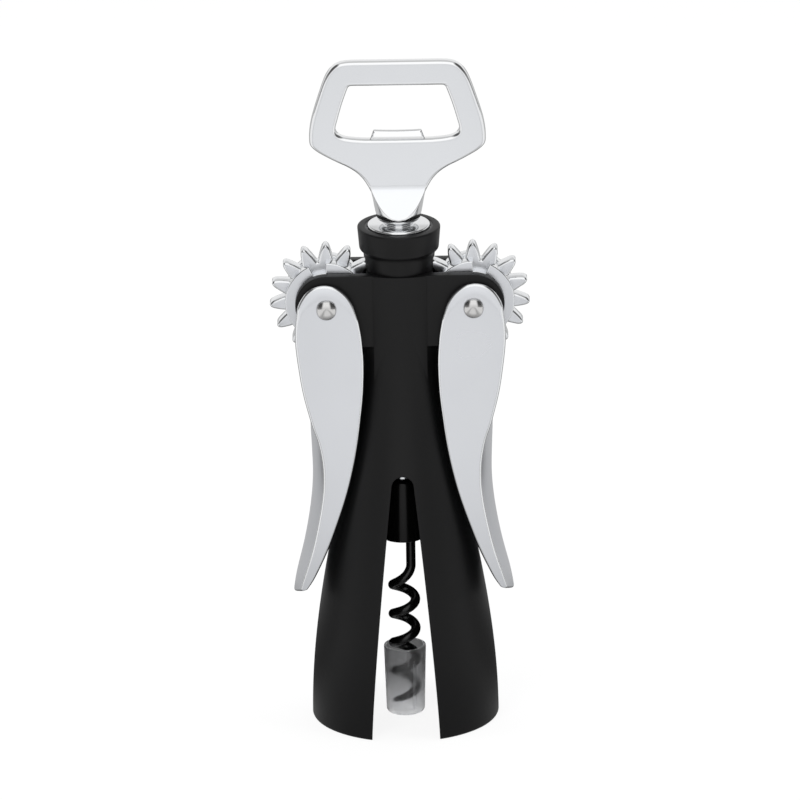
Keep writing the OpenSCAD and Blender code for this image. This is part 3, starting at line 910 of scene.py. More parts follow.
    def build(self) -> bpy.types.Object:
        """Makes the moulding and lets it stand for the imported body.

        Returns:
            The piece.
        """
        piece = self.shell().made("body_moulding")
        combined(piece, self.ears() + self.pads(), Joining.ADD)
        floor, hole = self.floor
        start, seat, end = self.hollow - 2, self.top - 4, self.top + 5
        bore = np.array([
            [0, start], [hole, start], [hole, floor], [self.bore, floor],
            [self.bore, seat], [self.seat, seat], [self.seat, end], [0, end],
        ])
        pockets = gear_pockets(self.pivot, self.pocket, self.ear_faces[0])
        combined(piece, [*pockets, Solid().turned(bore, steps=192, closed=False)], Joining.CUT)
        shade(piece.data, sharp=30)
        return show(piece, BODY_PLASTIC, "frame", "body_shell")


@dataclass
class TopCollar:
    """The black flanged collar that the handle turns in, in millimetres.

    Attributes:
        top: Height of the rim.
        rim: Outer radius of the rim.
        rim_height: Height of the rim.
        tube: Outer radius of the tube.
        seat: Radius of the recess.
        seat_depth: Depth of the recess.
        bore: Radius of the bore.
        bottom: Height of the spigot's lower end.
        shoulder: Height of the body's top.
        pivot: Place (x, z) of the right pivot.
        pocket: Radius of the gears' pockets.
        pocket_half: Half of their width.
    """

    top: float = 149.5
    rim: float = 12.05
    rim_height: float = 6.6
    tube: float = 10.35
    seat: float = 9.75
    seat_depth: float = 2.1
    bore: float = 8.9
    bottom: float = 132.95
    shoulder: float = 136.9
    pivot: tuple[float, float] = (21.25, 127.9)
    pocket: float = 16.7
    pocket_half: float = 2.6

    def build(self) -> bpy.types.Object:
        """Turns the collar, cuts the gears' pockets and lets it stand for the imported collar.

        Returns:
            The piece.
        """
        rim_bottom, recess = self.top - self.rim_height, self.top - self.seat_depth
        spigot = self.seat - 0.05
        profile = rounded_corners(
            [
                [self.bore, self.bottom], [spigot, self.bottom],
                [spigot, self.shoulder], [self.tube - 0.4, self.shoulder],
                [self.tube, rim_bottom - 1.15], [self.rim - 0.55, rim_bottom],
                [self.rim, self.top], [self.seat + 0.2, self.top],
                [self.seat, self.top - 0.3], [self.seat, recess], [self.bore, recess],
            ],
            [0.1, 0.1, 0, 0, 0.75, 0.45, 0.6, 0.15, 0.15, 0.15, 0.15],
        )
        piece = Solid().turned(profile, steps=160).made("collar_moulding")
        combined(piece, gear_pockets(self.pivot, self.pocket, self.pocket_half), Joining.CUT)
        shade(piece.data, sharp=35)
        return show(piece, BODY_PLASTIC, "frame", "top_collar")


# ---------------------------------------------------------------- handle


@dataclass
class OpenerHandle:
    """The bright handle: flange, stub, trumpet neck, wide opener and its lip, in millimetres.

    Attributes:
        base: Height of the collar's rim, from which the handle is measured.
        width: Width of the opener.
        height: Height of the opener above the base.
        plate: Thickness of the opener's plate.
        flange: Radius of the flange.
        flange_bottom: Height of the flange's lower face.
        flange_rise: How far the flange stands above the base.
        snap_step: Radius and height of the step that the snap ring holds.
        edge: Radius of the plate's rounded edges.
        lip: Half width of the lifter's lip at its top, how much wider its foot is, and its height.
        outline: Left half of the plate's outline, in half widths and heights.
        opening: Left half of the opening's outline, in the same measures.
        trumpet: Radius of the neck and its height above the base.
        flats: Distance of the neck's flats from the middle and their height above the base.
    """

    base: float = 149.5
    width: float = 51.0
    height: float = 51.1
    plate: float = 3.6
    flange: float = 9.05
    flange_bottom: float = 148.05
    flange_rise: float = 0.7
    snap_step: tuple[float, float] = (9.65, 0.7)
    edge: float = 0.95
    lip: tuple[float, float, float] = (6.9, 1.2, 2.7)
    outline: Sequence[tuple[float, float]] = field(default=(
        (0, 0.984), (-0.3, 0.984), (-0.5, 0.984), (-0.604, 0.98), (-0.676, 0.969), (-0.748, 0.941),
        (-0.806, 0.898), (-0.864, 0.822), (-0.954, 0.678), (-0.99, 0.596), (-1, 0.53), (-0.985, 0.487),
        (-0.91, 0.45), (-0.778, 0.41), (-0.664, 0.38), (-0.568, 0.356), (-0.474, 0.324), (-0.397, 0.284),
        (-0.34, 0.238), (-0.3, 0.2), (-0.22, 0.16), (-0.1, 0.14), (0, 0.135),
    ))
    opening: Sequence[tuple[float, float]] = field(default=(
        (0, 0.8405), (-0.3, 0.8405), (-0.505, 0.8405), (-0.538, 0.836), (-0.558, 0.823), (-0.625, 0.728),
        (-0.684, 0.623), (-0.698, 0.593), (-0.697, 0.572), (-0.671, 0.551), (-0.62, 0.536), (-0.543, 0.527),
        (-0.43, 0.521), (-0.317, 0.5185), (0, 0.5175),
    ))
    trumpet: Sequence[tuple[float, float]] = field(default=(
        (4.3, -0.1), (4.3, 0.8), (4.55, 1.35), (5.5, 1.85), (6.2, 2.45), (6.45, 3.3), (7.0, 6.0),
        (7.45, 8.6), (8.1, 11.4), (8.6, 13.4), (8.9, 14.8),
    ))
    flats: Sequence[tuple[float, float]] = field(default=(
        (12, -2), (6.8, 3.4), (5.35, 5.75), (3.95, 8), (2.75, 9.9), (2.1, 11.3), (1.85, 12.3),
        (1.77, 13.2), (1.7, 14.8),
    ))

    def _closed(self, half: Sequence[tuple[float, float]]) -> Array:
        """The closed outline whose left half is given, in millimetres above the base."""
        left = smooth_curve(half, 16) * [self.width / 2, self.height]
        return anticlockwise(np.vstack([left, left[-2:0:-1] * [-1, 1]]))

    def blade(self) -> Solid:
        """The opener's flat plate as one ring round the opening.

        Spokes run from the outer outline to the opening at equal angles about a point in the opening, with
        their points closer together near both edges. The half thickness is plate / 2 - edge +
        sqrt(edge^2 - (edge - d)^2), with d the distance to the nearer edge, and plate / 2 inside. That
        distance is taken along the spoke, times how squarely the spoke meets the edge.

        Returns:
            The solid.
        """
        spokes, least_square, spread = 600, 0.35, 0.95
        centre = np.array([0.0, 0.64 * self.height])
        outer = spaced(self._closed(self.outline), spokes)
        opening = spaced(self._closed(self.opening), 2 * spokes) - centre
        angle = np.arctan2(*(outer - centre).T[::-1])
        around = np.arctan2(opening[:, 1], opening[:, 0])
        order = np.argsort(around)
        reach = np.interp(angle, around[order], np.hypot(*opening.T)[order], period=2 * math.pi)
        inner = centre + reach[:, None] * np.stack([np.cos(angle), np.sin(angle)], axis=1)
        spoke = inner - outer
        length = np.linalg.norm(spoke, axis=1)
        square_out, square_in = (
            np.clip(np.abs(np.sum(outward_normals(loop) * spoke, axis=1)) / length, least_square, 1)
            for loop in (outer, inner)
        )
        near = np.array([0, 0.02, 0.07, 0.15, 0.26, 0.4, 0.56, 0.74, 0.95, 1.3, 2.0])
        from_out = near[None, :] * self.edge / (spread * square_out * length)[:, None]
        from_in = 1 - (near[None, :] * self.edge / (spread * square_in * length)[:, None])[:, ::-1]
        gap = np.linspace(0, 1, 10)[None, 1:-1]
        middle = from_out[:, -1:] + (from_in[:, :1] - from_out[:, -1:]) * gap
        t = np.concatenate([from_out, middle, from_in], axis=1)
        flat = outer[:, None] + t[..., None] * spoke[:, None]
        x, z = flat[..., 0], flat[..., 1] + self.base
        to_edge = np.minimum(t * (length * square_out)[:, None], (1 - t) * (length * square_in)[:, None])
        inside = np.clip(self.edge - to_edge, 0, self.edge)
        half = self.plate / 2 - self.edge + np.sqrt(self.edge**2 - inside**2)
        front = np.stack([x, -half, z], axis=-1)
        back = np.stack([x, half, z], axis=-1)[:, ::-1]
        rim = smooth_step(inside / self.edge, 0.05, 0.4)
        loop = np.concatenate([front, back], axis=1)
        return Solid().grid(loop, True, True, np.concatenate([rim, rim[:, ::-1]], axis=1))

    def add_trumpet(self, solid: Solid) -> None:
        """Adds the round neck with its two flats, from inside the flange to inside the plate.

        At each height a point of the round section (R cos a, R sin a) keeps its x, and its y is the soft
        minimum -k ln(exp(-R |sin a| / k) + exp(-flat / k)) of the round and of the flat. The columns lie
        closer together where the two meet, at the crease. The polish is exp(-((a - crease) / ridge)^2)
        round the crease, and at least the round's own share outside the flats.

        Args:
            solid: The solid that it joins.
        """
        soft, band, ridge, round_share = 0.16, 0.16, 0.12, 0.8
        height = np.linspace(self.trumpet[0][1], self.trumpet[-1][1], 90)
        radius, flat = (
            np.interp(height, line[:, 1], line[:, 0])[:, None]
            for line in (smooth_curve(self.trumpet, 12), smooth_curve(self.flats, 12))
        )
        crease = np.arcsin(np.clip(flat / radius, 0, 1))
        spots = np.array([0.0, 0.3, 0.7, 1.0])
        stops = np.concatenate([0 * crease, crease - band, crease + band, 0 * crease + math.pi / 2], axis=1)
        stops = np.clip(stops, 0, math.pi / 2)
        t = np.linspace(0, 1, 29)
        quarter = np.stack([np.interp(t, spots, row) for row in stops])
        angle = np.concatenate([quarter, math.pi - quarter[:, -2::-1]], axis=1)
        round_y = radius * np.sin(angle)
        y = -soft * np.logaddexp(-round_y / soft, -flat / soft)
        y = np.where(round_y < 1e-9, 0, np.maximum(y, 0) * np.clip(round_y / (2 * soft), 0, 1) ** 0.3)
        x = radius * np.cos(angle)
        edge = sum(np.exp(-(((a - crease) / ridge) ** 2)) for a in (angle, math.pi - angle))
        shine = np.maximum(np.clip(edge, 0, 1), np.clip((round_y < flat) * round_share, 0, 1))
        z = height[:, None] + self.base
        front = np.stack(np.broadcast_arrays(x, -y, z), axis=-1)
        back = np.stack(np.broadcast_arrays(x, y, z), axis=-1)[:, -2:0:-1]
        loop = np.concatenate([front, back], axis=1)
        shine = np.concatenate([shine, shine[:, -2:0:-1]], axis=1)
        solid.grid(loop, wrap_v=True, edge=shine).lid(loop[0]).lid(loop[-1])

    def add_lip(self, solid: Solid) -> None:
        """Adds the lifter's lip, a short tab with a crowned face, an undercut foot and a flared base.

        Its section is carried across. At height z its half width is top + flare exp(-z / fade), and its
        upper edge sags by sag (1 - s^2), with s from -1 to 1 across. The section gets thinner over the
        last twentieth at both ends.

        Args:
            solid: The solid that it joins.
        """
        fade, sag, thinner = 0.8, 0.2, 0.75
        top, flare, tall = self.lip
        section = rounded_corners(
            [
                [-0.85, -1.2], [1.1, -1.2], [1.1, 1.3], [0.7, tall],
                [-0.5, tall], [-1.5, 1.2], [-1.6, 0.35], [-0.85, 0.15],
            ],
            [0, 0, 0.5, 0.3, 0.5, 0.5, 0.25, 0.1],
            5,
        )
        place = np.linspace(-1, 1, 49)[:, None]
        y, z = section[None, :, 0], section[None, :, 1]
        half = top + flare * np.exp(-np.clip(z, 0, None) / fade)
        pinch = np.sqrt(1 - np.clip((np.abs(place) - 0.95) / 0.05, 0, 1) ** 2 * thinner)
        middle = section.mean(axis=0)
        y = middle[0] + (y - middle[0]) * pinch
        low = sag * np.clip(z / tall, 0, 1) ** 2 * (1 - place**2)
        height = z - low + self.base + self.opening[-1][1] * self.height
        surface = np.stack(np.broadcast_arrays(place * half, y, height), axis=-1)
        solid.grid(surface, wrap_v=True, edge=1.0).lid(surface[0]).lid(surface[-1])

    def add_flange(self, solid: Solid) -> None:
        """Adds the turned and polished flange with a rounded rim, and the step that the snap ring holds."""
        low, top = self.flange_bottom, self.base + self.flange_rise
        step, tall = self.snap_step
        stub, crown = 4.2, top + 0.05
        profile = rounded_corners(
            [
                [0, low], [step, low], [step, low + tall], [self.flange, low + tall],
                [self.flange, top - 0.1], [stub, crown], [0, crown],
            ],
            [0, 0.12, 0.12, 0, 0.5, 0.1, 0],
        )
        solid.turned(profile, steps=128, closed=False, edge=1.0)

    def build(self) -> bpy.types.Object:
        """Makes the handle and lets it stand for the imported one.

        Returns:
            The piece.
        """
        solid = self.blade()
        self.add_trumpet(solid)
        self.add_lip(solid)
        self.add_flange(solid)
        return show(solid.made("lifter_handle", sharp=40), BRIGHT_PLATE, "handle", "opener_handle")


# ---------------------------------------------------------------- levers


@dataclass
class WingLever:
    """One lever: two cheeks, a crowned back and the gear, in millimetres from its pivot.

    Attributes:
        side: Which lever this is.
        length: Length from the pivot to the tip.
        cheek: Distance of a cheek's inner and outer face from the middle.
        back: Thickness of the back.
        pitch: The gear's pitch radius.
        tip: Radius at the tips of the teeth.
        root: Radius of the teeth's roots and of the shoulders.
        teeth: Number of teeth.
        gear: Half width of the toothed part.
        shoulder: Distance of the shoulders' faces from the middle.
        line: Share of the length below the pivot, then the places of the cheek's inner edge, its outer
            edge and the crown of the back.
        top: The cheek's round top from its outer to its inner side.
        tail: The cheek's round end from its inner to its outer side.
        soft: Radius of the cheeks' rims, then how far in and how deep their faces fall off at the pivot.
    """

    side: Side
    length: float = 90.4
    cheek: tuple[float, float] = (9.55, 12.05)
    back: float = 3.0
    pitch: float = 14.32
    tip: float = 16.4
    root: float = 11.9
    teeth: int = 15
    gear: float = 2.3
    shoulder: float = 5.4
    line: Sequence[tuple[float, float, float, float]] = field(default=(
        (0.04, 9.2, -8.95, -7.4), (0.08, 9.85, -9.2, -8.4), (0.12, 10.25, -9.15, -8.6),
        (0.188, 10.6, -8.5, -8.2), (0.288, 10.3, -7.1, -7.1), (0.392, 9.3, -4.75, -5.4),
        (0.455, 8.55, -2.95, -5.05), (0.52, 7.55, -1.9, -4.8), (0.588, 6.2, -1.68, -4.65),
        (0.655, 4.55, -2.25, -4.95), (0.734, 2.2, -3.5, -5.85), (0.82, -0.65, -5.25, -7.35),
        (0.909, -4.4, -7.7, -9.4), (0.949, -6.7, -8.75, -10),
    ))
    top: Sequence[tuple[float, float]] = field(default=(
        (-8.66, -1.85), (-8.38, 0.35), (-7.53, 2.5), (-5.9, 4.83), (-3.55, 6.46), (-0.36, 7.1),
        (2.98, 6.25), (5.6, 4.26), (7.45, 1.56), (8.52, -1.42),
    ))
    tail: Sequence[tuple[float, float]] = field(default=(
        (-6.95, -85.95), (-7.25, -86.1), (-7.65, -86.15), (-8.1, -86.15), (-8.5, -86.05), (-8.72, -85.85),
    ))
    soft: tuple[float, float, float] = (0.75, 4.2, 0.5)

    def _curve(self) -> Array:
        """The lever's line with many stations, as depth, inner edge, outer edge and crown."""
        curve = smooth_curve(self.line, 14)
        curve[:, 0] *= -self.length
        return curve

    def add_cheeks(self, solid: Solid) -> None:
        """Adds the two cheeks, with rounded rims and outer faces that fall off softly round the pivot.

        Rings run from the inner face round the rim and on to the outer face. On the rim they are quarter
        circles. On the face, at an inset of rim + u (fall - rim) for u from 0 to 1, the surface lies
        sink (1 - u)^2 below the face. Both fall and sink fade out down the lever, and every inset gets
        smaller where a cheek is slimmer than 4.5 mm. The rim's rings are polished, but for the first and
        the last.

        Args:
            solid: The solid that it joins.
        """
        plain_below, full_above, wide = -5.0, 6.5, 4.5
        z, inner, outer, _ = self._curve().T
        down = np.stack([inner, z], axis=1)
        up = np.stack([outer, z], axis=1)[::-1]
        outline = np.vstack([smooth_curve(self.top, 8), down, np.array(self.tail), up])
        outline = anticlockwise(spaced(outline, 460))
        normal = outward_normals(outline)
        low, high = self.cheek
        rim, fall, sink = self.soft
        share = smooth_step(outline[:, 1], plain_below, full_above)[:, None]
        slim = np.clip(np.interp(-outline[:, 1], -z, inner - outer) / wide, 0.3, 1)[:, None]
        inset, rise = rim_rounds(rim, 5)
        sunk = sink * share * np.repeat([0, 1], len(rise))
        height = np.concatenate([low + rise, high - rise[::-1]])[None, :] - sunk
        u = np.linspace(0, 1, 9)[None, 1:]
        inset = np.hstack([inset * slim, slim * (rim + u * (fall - rim) * np.maximum(share, 0.05))])
        height = np.hstack([height, high - sink * share * (1 - u) ** 2])
        flat = outline[:, None, :] - inset[..., None] * normal[:, None, :]
        ring = np.arange(inset.shape[1])
        polish = ((ring > 0) & (ring < 2 * len(rise) - 1)).astype(float)
        for side in (1, -1):
            rings = Along.Y.place(flat[..., 0], flat[..., 1], side * height)
            solid.grid(rings, wrap_u=True, edge=polish).lid(rings[:, 0]).lid(rings[:, -1])

    def add_back(self, solid: Solid) -> None:
        """Adds the crowned back as a closed shell with a round end.

        At each station the outer face is crown + (edge - crown) s^2 with s from -1 to 1 across, and the
        inner face lies the back's thickness behind it. The last stations reach further down towards the
        middle, by 1.22 - sqrt(s^2 + 0.03), and the back thins out to 0.45 of itself. Past the last one
        both faces close on their middle as sqrt(1 - t^2) for t from 0 to 1, while the end moves on by half
        the thickness times t.

        Args:
            solid: The solid that it joins.
        """
        first, last = -(self.tip + 0.8), -0.94 * self.length
        lap, inside_face, reach, lean, thinning = 0.4, 0.45, 0.0465 * self.length, 0.16, 0.55
        curve = self._curve()
        curve = curve[(curve[:, 0] < first) & (curve[:, 0] > last)]
        z, inner, outer, crown = (c[:, None] for c in curve.T)
        edge = outer + lap
        crown = np.minimum(crown, edge)
        s = np.linspace(-1, 1, 37)[None, :]
        half = self.cheek[1] - inside_face
        progress = np.linspace(0, 1, len(curve))[:, None]
        sink = reach * progress**6 * (1.22 - np.sqrt(s**2 + 0.03))
        face = crown + (edge - crown) * s**2 - lean * sink
        room = np.maximum(inner - outer, 2.2) - 0.3
        thick = np.minimum(self.back, room) * (1 - thinning * progress**8)
        t = np.linspace(0, 1, 8)[1:, None]
        close = np.sqrt(1 - t**2)
        middle = face[-1] + thick[-1] / 2
        outside = np.vstack([face, middle + (face[-1] - middle) * close])
        inside = np.vstack([face + thick, middle + (face[-1] + thick[-1] - middle) * close])
        depth = np.vstack([z - sink, z[-1] - sink[-1] - t * thick[-1] / 2])
        drift = np.vstack([0 * z, -0.25 * t * thick[-1] / 2])
        front = np.stack(np.broadcast_arrays(outside + drift, half * s, depth), axis=-1)
        rear = np.stack(np.broadcast_arrays(inside + drift, half * s, depth), axis=-1)
        solid.grid(np.concatenate([front, rear[:, ::-1]], axis=1), wrap_v=True)
        solid.grid(np.stack([front[0], rear[0]]))

    def tooth_outline(self) -> Array:
        """All the teeth as one closed outline. Each flank is a smooth curve from root to round tip."""
        flank = smooth_curve([
            [self.root - 0.6, 2.2], [self.root, 2.05], [13.1, 1.78], [self.pitch, 1.43], [15.3, 1.1],
            [self.tip - 0.5, 0.76], [self.tip - 0.15, 0.4], [self.tip, 0.0],
        ], 5)
        tooth = np.vstack([flank * [1, -1], flank[-2::-1]])
        turn = np.radians(90 + np.arange(self.teeth) * 360 / self.teeth)[:, None]
        radius, offset = tooth[None, :, 0], tooth[None, :, 1]
        x = radius * np.cos(turn) - offset * np.sin(turn)
        z = radius * np.sin(turn) + offset * np.cos(turn)
        return np.stack([x, z], axis=-1).reshape(-1, 2)

    def shoulder_outline(self) -> Array:
        """The shoulder's circle with a notch one tooth wide above the pivot."""
        notch = 3
        step = 360 / self.teeth
        floor = arc((0, 0), self.root - notch, 90 + step, 90, 4)
        return np.vstack([arc((0, 0), self.root, 90 + step, 450, 110), floor[::-1]])

    def add_gear(self, solid: Solid) -> None:
        """Adds the toothed wheel, its two shoulders and the rib that joins it to the back."""
        tooth_round, rounding, overlap = 0.65, 0.3, 0.5
        solid.plate(self.tooth_outline(), -self.gear, self.gear, tooth_round)
        for sign in (-1, 1):
            low, high = sorted((sign * (self.gear - overlap), sign * self.shoulder))
            solid.plate(self.shoulder_outline(), low, high, rounding)
        rib = self.length * np.array([
            [-0.075, -0.11], [0.028, -0.12], [0.011, -0.22],
            [-0.035, -0.37], [-0.055, -0.3], [-0.075, -0.2],
        ])
        solid.plate(rib, -self.shoulder, self.shoulder, rounding)

    def build(self, pivot: Vector) -> bpy.types.Object:
        """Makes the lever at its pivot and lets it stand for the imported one.

        Args:
            pivot: The pivot's place in metres.

        Returns:
            The piece.
        """
        solid = Solid()
        self.add_cheeks(solid)
        self.add_back(solid)
        self.add_gear(solid)
        solid.mirrored(self.side).moved(np.array(pivot) / MM)
        label = self.side.label
        piece = solid.made(f"{label}_wing_casting", sharp=38)
        return show(piece, SATIN_PLATE, f"{label}_wing", f"{label}_lever")


@dataclass
class PivotPin:
    """A pivot pin with a low domed head at the front and its push-on cap at the rear, in millimetres.

    Attributes:
        side: Which lever it carries.
        shank: Radius of the pin.
        head: Radius of the dome.
        rise: Height of the dome.
        seat: Distance of the dome's flat side from the middle.
        tail: Distance of the pin's rear end from the middle.
    """

    side: Side
    shank: float = 2.0
    head: float = 2.95
    rise: float = 1.75
    seat: float = 12.2
    tail: float = 13.45

    def dome(self, flat: float, rise: float, radius: float) -> Array:
        """A dome's profile from its rim to its pole: height = rise sqrt(1 - (r / radius)^2.4)."""
        r = radius * np.sin(np.linspace(math.pi / 2, 0, 19))
        return np.stack([r, flat + rise * np.sqrt(np.maximum(1 - (r / radius) ** 2.4, 0))], axis=1)

    def build(self, pivot: Vector) -> None:
        """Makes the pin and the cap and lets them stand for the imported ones.

        Args:
            pivot: The pivot's place in metres.
        """
        proud, lap, cap_rise = 0.25, 0.05, 0.85
        label = self.side.label
        shank = [[0, self.tail], [self.shank, self.tail]]
        pin = np.vstack([
            shank, [[self.shank, -self.seat], [self.head - 0.1, -self.seat]],
            self.dome(self.seat + proud, self.rise - proud, self.head) * [1, -1],
        ])
        cap = np.vstack([
            shank, [[self.shank, self.seat], [self.head, self.seat]],
            self.dome(self.tail + lap, cap_rise, self.head - lap),
        ])
        for profile, name, node in ((pin, "domed_pin", "pivot_pin"), (cap, "push_cap", "pin_cap")):
            solid = Solid().turned(profile, Along.Y, steps=64, closed=False).moved(np.array(pivot) / MM)
            piece = solid.made(f"{label}_{name}", sharp=40)
            show(piece, POLISHED_STEEL, "frame", f"{label}_{node}")


# ---------------------------------------------------------------- screw


@dataclass
class Screw:
    """The hub, the worm and the tip cap, in millimetres.

    Attributes:
        hub: Radius of the hub.
        hub_faces: Heights of the hub's lower and upper face.
        wire: Thickness of the wire.
        width: Outer diameter of the coil.
        pitch: Rise of the coil in one turn.
        tip: Height of the point.
        start: Angle at which the wire leaves the hub.
        straight: Length of straight wire between the hub and the coil.
        bend: Height over which the straight wire eases into the coil.
        cap: Height of the cap's bottom, its length, and the radii of its end and of its mouth.
        cap_wall: Thickness of the cap's wall and of its floor.
        rib: The rib's angle round the axis, how far it stands out and half its width.
    """

    hub: float = 6.4
    hub_faces: tuple[float, float] = (54.0, 73.0)
    wire: float = 2.8
    width: float = 9.3
    pitch: float = 8.9
    tip: float = 3.0
    start: float = -50.0
    straight: float = 7.8
    bend: float = 8.0
    cap: tuple[float, float, float, float] = (0.2, 20.4, 5.5, 6.1)
    cap_wall: tuple[float, float] = (0.85, 1.2)
    rib: tuple[float, float, float] = (-62.0, 0.34, 0.5)

    def build_hub(self) -> bpy.types.Object:
        """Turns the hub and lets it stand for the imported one."""
        low, high = self.hub_faces
        profile = rounded_corners(
            [
                [0, low], [self.hub - 0.25, low], [self.hub, low + 0.4],
                [self.hub, high - 0.9], [self.hub - 0.9, high], [0, high],
            ],
            [0, 0.2, 0.3, 0.8, 0.5, 0],
        )
        piece = Solid().turned(profile, steps=96, closed=False).made("screw_hub")
        return show(piece, HUB_PLASTIC, "screw", "worm_hub")

    def build_worm(self) -> bpy.types.Object:
        """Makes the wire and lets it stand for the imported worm.

        Below the hub the wire's centre turns about the axis by 360 / pitch degrees for each millimetre.
        Over the bend the turning eases in as the square of the depth. The radius shrinks towards the
        point as the square root of the height above it.

        Returns:
            The piece.
        """
        in_hub, blunt = 6, 0.012
        bend_top = self.hub_faces[0] - self.straight
        z = np.concatenate([
            np.linspace(self.hub_faces[0] + in_hub, bend_top, 12, endpoint=False),
            np.linspace(bend_top, self.tip, 400),
        ])
        deep = bend_top - z
        easing, steady = deep**2 / (2 * self.bend), deep - self.bend / 2
        turned = np.where(deep <= 0, 0, np.where(deep < self.bend, easing, steady))
        rate = np.clip(deep / self.bend, 0, 1)
        angle = np.radians(self.start - 360 * turned / self.pitch)
        reach = (self.width - self.wire) / 2
        out = np.stack([np.cos(angle), np.sin(angle), np.zeros_like(z)], axis=1)
        run = 2 * math.pi * reach * rate / self.pitch
        along = np.stack([-np.sin(angle) * run, np.cos(angle) * run, np.ones_like(z)], axis=1)
        across = np.cross(along, out) / np.linalg.norm(along, axis=1)[:, None]
        radius = self.wire / 2 * np.sqrt(np.clip((z - self.tip) / (self.pitch / 2), blunt, 1))
        turn = np.linspace(0, 2 * math.pi, 18, endpoint=False)[None, :, None]
        ring = np.cos(turn) * out[:, None] - np.sin(turn) * across[:, None]
        centre = reach * out + np.stack([0 * z, 0 * z, z], axis=1)
        surface = centre[:, None] + radius[:, None, None] * ring
        solid = Solid().grid(surface, wrap_v=True).lid(surface[0]).lid(surface[-1])
        return show(solid.made("coated_worm", sharp=50), WORM_COATING, "screw", "worm")

    def build_cap(self) -> bpy.types.Object:
        """Turns the frosted cap with its mouth, and adds the moulded rib on its side.

        The rib is a half-round bar on the cap's tapering wall: at height h it stands at the wall's radius.

        Returns:
            The piece.
        """
        low, tall, end, mouth = self.cap
        wall, floor = self.cap_wall
        facing, rib_rise, rib_half, sunk = math.radians(self.rib[0]), self.rib[1], self.rib[2], 0.05
        top = low + tall
        profile = rounded_corners(
            [
                [0, low], [end, low], [mouth, top],
                [mouth - wall, top], [end - wall + 0.03, low + floor], [0, low + floor],
            ],
            [0, 1.3, 0.35, 0.3, 0.8, 0],
        )
        solid = Solid().turned(profile, steps=96, closed=False)
        h = np.linspace(low + 2.0, top - 3.2, 40)[:, None]
        around = np.linspace(0, 2 * math.pi, 16, endpoint=False)[None, :]
        ends = np.sqrt(np.clip(1 - (np.abs(2 * (h - h[0]) / (h[-1] - h[0]) - 1)) ** 14, 0.02, 1))
        radius = end + (mouth - end) * (h - low) / tall
        depth = radius - sunk + rib_rise * np.sin(around) * ends
        across = rib_half * np.cos(around) * ends
        x = depth * math.cos(facing) - across * math.sin(facing)
        y = depth * math.sin(facing) + across * math.cos(facing)
        rib = np.stack(np.broadcast_arrays(x, y, h), axis=-1)
        solid.grid(rib, wrap_v=True).lid(rib[0]).lid(rib[-1])
        return show(solid.made("frosted_cap", sharp=40), CAP_PLASTIC, "cap", "tip_cap")


def dress_inner_works(nodes: dict[str, bpy.types.Object]) -> None:
    """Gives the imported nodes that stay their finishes.

    Args:
        nodes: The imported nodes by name.
    """
    kept = {
        BRIGHT_PLATE: ["rack"],
        POLISHED_STEEL: ["drive_rod", "hub_pin"],
        BEARING_PLASTIC: ["guide_bush", "thrust_washer", "left_pivot_washers", "right_pivot_washers"],
        SPRING_STEEL: ["snap_ring"],
    }
    for finish, names in kept.items():
        for name in names:
            finish.dress(nodes[name])
            LOG.info("%s: packed node, %s", name, finish.name)


# ---------------------------------------------------------------- studio


